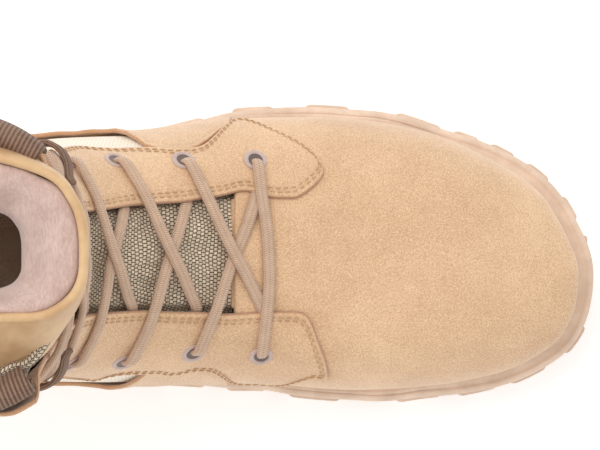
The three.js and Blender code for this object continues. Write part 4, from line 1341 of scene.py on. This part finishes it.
ROWS = 7
LOOP_ROW = 4
SPOTS = {
    sign: [settle(middle_of("lace_loop_" + name if row == LOOP_ROW else "eyelet_%s_%d" % (name, row + 1)))
           for row in range(ROWS)]
    for sign, name in SIDE_NAMES.items()
}
RUNS = {sign: [run_of(spot) for spot in spots] for sign, spots in SPOTS.items()}
EYELET_PROFILE = [(0, 0.38), (2.3, 0.38), (2.7, 0.4), (2.8, 0.48), (3.05, 0.7), (3.45, 0.85), (3.95, 0.8),
                  (4.35, 0.55), (4.6, 0.1), (4.5, -0.15), (3.7, -0.2), (3.1, -0.5), (3.0, -2.6), (0, -2.6)]
HOLE_POINTS = 3
FACING_TOP = 1.9


def turned_to(spot, forward, height):
    """A matrix that stands things on the form at a spot, their X looking forward."""
    normal = form_normal(spot)
    side = unit(np.cross(normal, forward))
    along = np.cross(side, normal)
    turn = Matrix([list(row) for row in np.column_stack((along, side, normal))]).to_4x4()
    return Matrix.Translation(Vector(spot + normal * height)) @ turn


class BOOT_OT_eyelets(bpy.types.Operator):
    """Rolled eyelets, painted like the suede"""
    bl_idname = "boot.eyelets"
    bl_label = "Eyelets"

    def execute(self, context):
        for sign, name in SIDE_NAMES.items():
            for row, spot in enumerate(SPOTS[sign]):
                if row == LOOP_ROW:
                    continue
                bm = bmesh.new()
                shade = bm.verts.layers.float.new("shade")
                ring = [bm.verts.new((r, 0, z)) for r, z in EYELET_PROFILE]
                for vert in ring[:HOLE_POINTS]:
                    vert[shade] = 1.0
                edges = [bm.edges.new(pair) for pair in zip(ring, ring[1:])]
                bmesh.ops.spin(bm, geom=ring + edges, cent=(0, 0, 0), axis=(0, 0, 1), dvec=(0, 0, 0),
                               angle=2 * math.pi, steps=40, use_merge=True, use_duplicate=False)
                close_up(bm)
                _, forward, _ = spine_frame(np.array(RUNS[sign][row]))
                bmesh.ops.transform(bm, matrix=turned_to(spot, forward, FACING_TOP - 0.1), verts=bm.verts)
                node = "eyelet_%s_%d" % (name, row + 1)
                publish(bm, "rolled_" + node, paint("eyelet_paint"), replaces=[node])
        return {"FINISHED"}


TAB_FOLDS = {
    1: [(3.0, 208), (3.3, 216), (3.2, 223), (1.4, 228.5), (-1.8, 229.5), (-4.6, 227), (-5.6, 220),
        (-5.4, 213)],
    -1: [(0.8, 208), (1.2, 216), (2.8, 222), (2.2, 227), (-0.4, 229), (-3.6, 227.5), (-5.6, 221),
         (-5.4, 213)],
}
TAB_TURNS = {1: (39.0, 66.0), -1: (43.0, 68.0)}


class BOOT_OT_webbing(bpy.types.Operator):
    """Webbing lace loops and the ribbed tabs behind the top of each facing"""
    bl_idname = "boot.webbing"
    bl_label = "Webbing"

    def execute(self, context):
        for sign, name in SIDE_NAMES.items():
            spot, run = SPOTS[sign][LOOP_ROW], RUNS[sign][LOOP_ROW]
            _, forward, _ = spine_frame(np.array(run))
            turn = turned_to(spot, forward, FACING_TOP)
            arch = path_through([(0, -13 * sign, 0.4), (0, -10 * sign, 1.3), (0, -6.5 * sign, 4.0),
                                 (0, -1.5 * sign, 5.6),
                                 (0, 3.5 * sign, 4.4), (0, 6.5 * sign, 1.6), (0, 9 * sign, 0.4)], 46)
            away = unit(np.cross(np.gradient(arch, axis=0), [1.0, 0, 0]))
            away *= np.sign(away[len(away) // 2, 2])
            side = np.linspace(-4.6, 4.6, 13)
            sheet = arch[:, None] + np.array([1.0, 0, 0]) * side[None, :, None]
            outer = sheet + away[:, None] * 1.0 * round_rim(4.6 - np.abs(side), 1.0)[None, :, None]
            inner = sheet - away[:, None] * 1.0 * round_rim(4.6 - np.abs(side), 1.0)[None, :, None]
            bm = bmesh.new()
            skin_mesh(bm, outer, inner)
            close_up(bm)
            bmesh.ops.transform(bm, matrix=turn, verts=bm.verts)
            publish(bm, "webbing_loop_" + name, paint("webbing"), replaces=["lace_loop_" + name])
            self.tab(sign, name)
        return {"FINISHED"}

    def tab(self, sign, name):
        """Ribbed webbing folded over the top corner of one side."""
        fold = path_through([(out, 0, z) for out, z in TAB_FOLDS[sign]], 40)
        away = unit(np.cross(np.gradient(fold, axis=0), [0, 1.0, 0]))
        turn = sign * np.linspace(*TAB_TURNS[sign], 26)
        sheets = []
        for thick in (0.7, -0.7):
            line = fold + away * thick
            wall = around_shaft(line[:, 2:], turn[None, :])
            outward = form_normal(wall)
            outward[..., 2] = 0
            sheets.append(wall + unit(outward) * line[:, :1, None])
        if sheets[0][0, 0, 1] * sign < sheets[1][0, 0, 1] * sign:
            sheets.reverse()
        skin("webbing_tab_" + name, *sheets, paint("webbing"), "webbing")


# ------------------------------------------------------------------ lace
OVER_FLANGE, OVER_FACING, UNDER_FACING = 4.3, 3.3, -3.7


def edge_spot(sign, run, offset, inset=0.0):
    """A place at the throat's edge, or inset towards the middle."""
    y = THROAT[sign](run) - sign * inset
    return on_form(run, angle_at(run, y), offset)


def crossing(sign_from, run_from, sign_to, row, upper):
    """Knots of a strand from under one facing across to the other side's next eyelet."""
    goal = SPOTS[sign_to][row]
    start_angle = float(angle_at(run_from, THROAT[sign_from](run_from) + 0.0))
    goal_run = RUNS[sign_to][row]
    goal_angle = float(angle_at(goal_run, goal[1]))
    middle = 2.9 if upper else 0.5
    start, soon = (0.6, 1.3) if row == 1 else (-1.5, -0.3)
    heights = Curve((0, start), (0.1, soon), (0.36, max(middle, start)), (0.62, max(middle, 2.4)),
                    (0.74, OVER_FACING), (0.86, OVER_FACING + 0.2), (1, OVER_FLANGE))
    reach = np.linspace(0, 0.86, 9)
    knots = [on_form(run_from + (goal_run - run_from) * t, start_angle + (goal_angle - start_angle) * t,
                     heights(t)) for t in reach]
    return knots


def dive(sign, row, came_from):
    """Knots over an eyelet's flange, down through it and back under the facing to its edge."""
    spot = SPOTS[sign][row]
    normal = form_normal(spot)
    way = spot - came_from
    way = unit(way - normal * np.dot(way, normal))
    run = RUNS[sign][row]
    return [
        spot - way * 4.6 + normal * (OVER_FLANGE - 0.1),
        spot - way * 2.4 + normal * (OVER_FLANGE - 0.5),
        spot - way * 0.7 + normal * 2.0,
        spot - way * 0.3 - normal * 1.0,
        spot - way * 1.6 + normal * (-1.3 if row == 0 else UNDER_FACING),
        edge_spot(sign, run, -0.2 if row == 0 else -3.7, -7.0),
        edge_spot(sign, run, 0.5 if row == 0 else -2.4, -2.5),
    ]


def half_lace(sign):
    """Knots from the front bar's end on one side up to the top eyelet it finishes in."""
    knots = dive(sign, 0, SPOTS[-sign][0])
    side, run = sign, RUNS[sign][0]
    for row in range(1, ROWS):
        goal = -side
        strand = crossing(side, run, goal, row, upper=goal > 0)
        if row == LOOP_ROW:
            strand = strand[:-2]
            loop, loop_run = SPOTS[goal][row], RUNS[goal][row]
            angle = float(angle_at(loop_run, loop[1]))
            strand += [on_form(loop_run - 9, angle * 0.8, 4.0), on_form(loop_run - 1, angle, 4.4),
                       on_form(loop_run + 8, angle * 0.85, 3.9)]
            knots += strand
            side, run = goal, loop_run + 14
            continue
        knots += strand + dive(goal, row, strand[-1])
        side, run = goal, RUNS[goal][row]
    return knots[:-2]


class BOOT_OT_lace(bpy.types.Operator):
    """One flat braided lace: a bar at the front, then crossed up to the top eyelets"""
    bl_idname = "boot.lace"
    bl_label = "Lace"

    def execute(self, context):
        sizes = context.scene.boot_sizes
        a, b = SPOTS[1][0], SPOTS[-1][0]
        bar = []
        for t in (0.2, 0.35, 0.5, 0.65, 0.8):
            guess = a + (b - a) * t + np.array([3.2 * math.sin(math.pi * t), 0, 6])
            bar.append(settle(guess, 1.5 + 1.9 * abs(2 * t - 1) ** 1.2))
        knots = half_lace(1)[::-1] + bar + half_lace(-1)
        path = path_through(knots, 1500)
        for _ in range(3):
            path[1:-1] = (path[:-2] + 2 * path[1:-1] + path[2:]) / 4
        tangent = unit(np.gradient(path, axis=0))
        normal = form_normal(settle(path))
        flat = np.abs((tangent * normal).sum(axis=1)) < 0.72
        ups = np.zeros(path.shape)
        hint, last = normal[0], None
        for i, way in enumerate(tangent):
            guide = normal[i] if flat[i] else hint
            if flat[i]:
                hint = way
            up = unit(guide - way * np.dot(guide, way))
            if last is not None and np.dot(up, last) < 0:
                up = -up
            ups[i] = last = up if last is None else unit(up * 0.5 + last * 0.5)
        eyelets = np.array([s for sign in (1, -1) for r, s in enumerate(SPOTS[sign]) if r != LOOP_ROW])
        near = np.min(np.linalg.norm(path[:, None] - eyelets[None], axis=2), axis=1)
        pinch = 0.74 + 0.26 * smooth(near, 2.0, 7.5)
        swell = 1 + 0.02 * ripple(path, 24, 61)
        bm = bmesh.new()
        tube_mesh(bm, path, ups, sizes.lace_width / MM * pinch * swell,
                  sizes.lace_thickness / MM * (0.92 + 0.08 * pinch), 12, power=0.8)
        close_up(bm)
        publish(bm, "lace", paint("lace_braid"),
                replaces=["lace_bar"] + ["lace_crossing_%d" % row for row in range(1, ROWS)])
        return {"FINISHED"}


# ------------------------------------------------------------------ stitching
class BOOT_OT_stitching(bpy.types.Operator):
    """Every visible row of stitches, thread by thread"""
    bl_idname = "boot.stitching"
    bl_label = "Stitching"

    def execute(self, context):
        pitch = context.scene.boot_sizes.stitch_pitch / MM
        top = 0.2 + context.scene.boot_sizes.overlay / MM - 0.15
        bm = bmesh.new()
        for strip in FACINGS.values():
            shares = np.linspace(0.012, 0.985, 500)
            for inset in (2.3, 3.9, -2.3, -3.9):
                self.row(bm, strip.at(shares, np.full(shares.shape, inset), 0.0), top, pitch)
        bmesh.ops.recalc_face_normals(bm, faces=bm.faces)
        publish(bm, "stitches_facings", paint("thread"))
        bm = bmesh.new()
        self.row(bm, self.level(-57, COUNTER_TOP, 2.4), 2.5, pitch)
        self.row(bm, self.level(-57, COUNTER_TOP, 4.0), 2.5, pitch)
        self.row(bm, self.level(-18, QUARTER_TOP, 3.0), 1.1, pitch)
        for z in (205.6, COLLAR_Z - 3.0):
            turn = np.linspace(73, 287, 400)
            self.row(bm, around_shaft(np.full(turn.shape, z), turn), 1.3, pitch)
        for y in (10.5, -14.5):
            z = np.linspace(98, 199, 200)
            line = np.stack([0 * z - 150, y + (z - 98) * 0.02 * np.sign(y), z], axis=1)
            self.row(bm, settle(line), 1.25, pitch)
        bmesh.ops.recalc_face_normals(bm, faces=bm.faces)
        publish(bm, "stitches_back", paint("thread"))
        return {"FINISHED"}

    def row(self, bm, points, offset, pitch):
        normals = form_normal(points)
        thread_mesh(bm, points + normals * offset, normals, pitch, pitch * 0.76, 0.5)

    def level(self, front_x, top, below):
        start, stop = nearest_index(front_x, 1), nearest_index(front_x, -1)
        flat = rim_at(np.linspace(start, stop, 400), np.zeros(400))
        x = np.maximum(flat[:, 0], HEEL_X)
        centre = np.column_stack((x, np.full(x.shape, float(CENTRE_Y))))
        direction = unit(np.column_stack((flat - centre, 0 * x)))
        origin = np.column_stack((centre, top(flat[:, 0]) - below))
        return cast(origin, direction)


# ------------------------------------------------------------------ stage
# Straight above the middle of what is seen, in metres.
CAMERA_PLACE = (0.0379, 0.0112, 1.3)


class BOOT_OT_stage(bpy.types.Operator):
    """Pale floor, soft studio light and the camera straight above"""
    bl_idname = "boot.stage"
    bl_label = "Stage"

    def execute(self, context):
        scene = context.scene
        scene.view_settings.view_transform = "Standard"
        bm = bmesh.new()
        bmesh.ops.create_grid(bm, x_segments=2, y_segments=2, size=3.0)
        mesh = bpy.data.meshes.new("floor")
        bm.to_mesh(mesh)
        bm.free()
        floor = bpy.data.objects.new("floor", mesh)
        scene.collection.objects.link(floor)
        ground = Paint("floor_paper", Emission_Color=(1, 1, 1, 1), Emission_Strength=0.3)
        tone = ground.mix(ground.noise(900.0), (0.9, 0.9, 0.9), (0.94, 0.94, 0.94))
        mesh.materials.append(ground.finish(tone, 0.95))
        world = bpy.data.worlds.new("studio")
        world.use_nodes = True
        world.node_tree.nodes["Background"].inputs[0].default_value = (1, 1, 1, 1)
        world.node_tree.nodes["Background"].inputs[1].default_value = 0.74
        scene.world = world
        for name, place, size, power in (
            ("key", (-0.35, 0.75, 1.5), 1.0, 10.0),
            ("fill", (0.9, -0.7, 1.3), 1.4, 1.6),
            ("back", (-1.1, -0.3, 1.0), 1.0, 2.0),
        ):
            data = bpy.data.lights.new(name, "AREA")
            data.shape, data.size, data.energy = "SQUARE", size, power
            lamp = bpy.data.objects.new(name, data)
            lamp.location = place
            aim = Vector((0.02, 0, 0.08)) - Vector(place)
            lamp.rotation_euler = aim.to_track_quat("-Z", "Y").to_euler()
            scene.collection.objects.link(lamp)
        data = bpy.data.cameras.new("camera")
        data.lens, data.sensor_width = 196, 36
        data.dof.use_dof = False
        camera = bpy.data.objects.new("camera", data)
        camera.location = CAMERA_PLACE
        scene.collection.objects.link(camera)
        scene.camera = camera
        return {"FINISHED"}


# ------------------------------------------------------------------ panel and running
OPERATORS = (BOOT_OT_stage, BOOT_OT_sole, BOOT_OT_vamp, BOOT_OT_shaft, BOOT_OT_quarters,
             BOOT_OT_facings, BOOT_OT_tongue, BOOT_OT_eyelets, BOOT_OT_webbing, BOOT_OT_lace,
             BOOT_OT_stitching)


class BOOT_PT_panel(bpy.types.Panel):
    """Lists the boot's pieces and settings"""
    bl_label = "Combat boot"
    bl_idname = "BOOT_PT_panel"
    bl_space_type = "VIEW_3D"
    bl_region_type = "UI"
    bl_category = "Boot"

    def draw(self, context):
        for group in (context.scene.boot_sizes, context.scene.boot_colours):
            for key in group.bl_rna.properties.keys():
                if key not in ("rna_type", "name"):
                    self.layout.prop(group, key)
        for operator in OPERATORS:
            self.layout.operator(operator.bl_idname)


CLASSES = (BootColours, BootSizes, *OPERATORS, BOOT_PT_panel)


def register():
    for made in CLASSES:
        bpy.utils.register_class(made)
    bpy.types.Scene.boot_colours = bpy.props.PointerProperty(type=BootColours)
    bpy.types.Scene.boot_sizes = bpy.props.PointerProperty(type=BootSizes)


def unregister():
    del bpy.types.Scene.boot_colours
    del bpy.types.Scene.boot_sizes
    for made in reversed(CLASSES):
        bpy.utils.unregister_class(made)


def main():
    register()
    for operator in OPERATORS:
        getattr(bpy.ops.boot, operator.bl_idname.split(".")[1])()


if __name__ == "__main__":
    main()
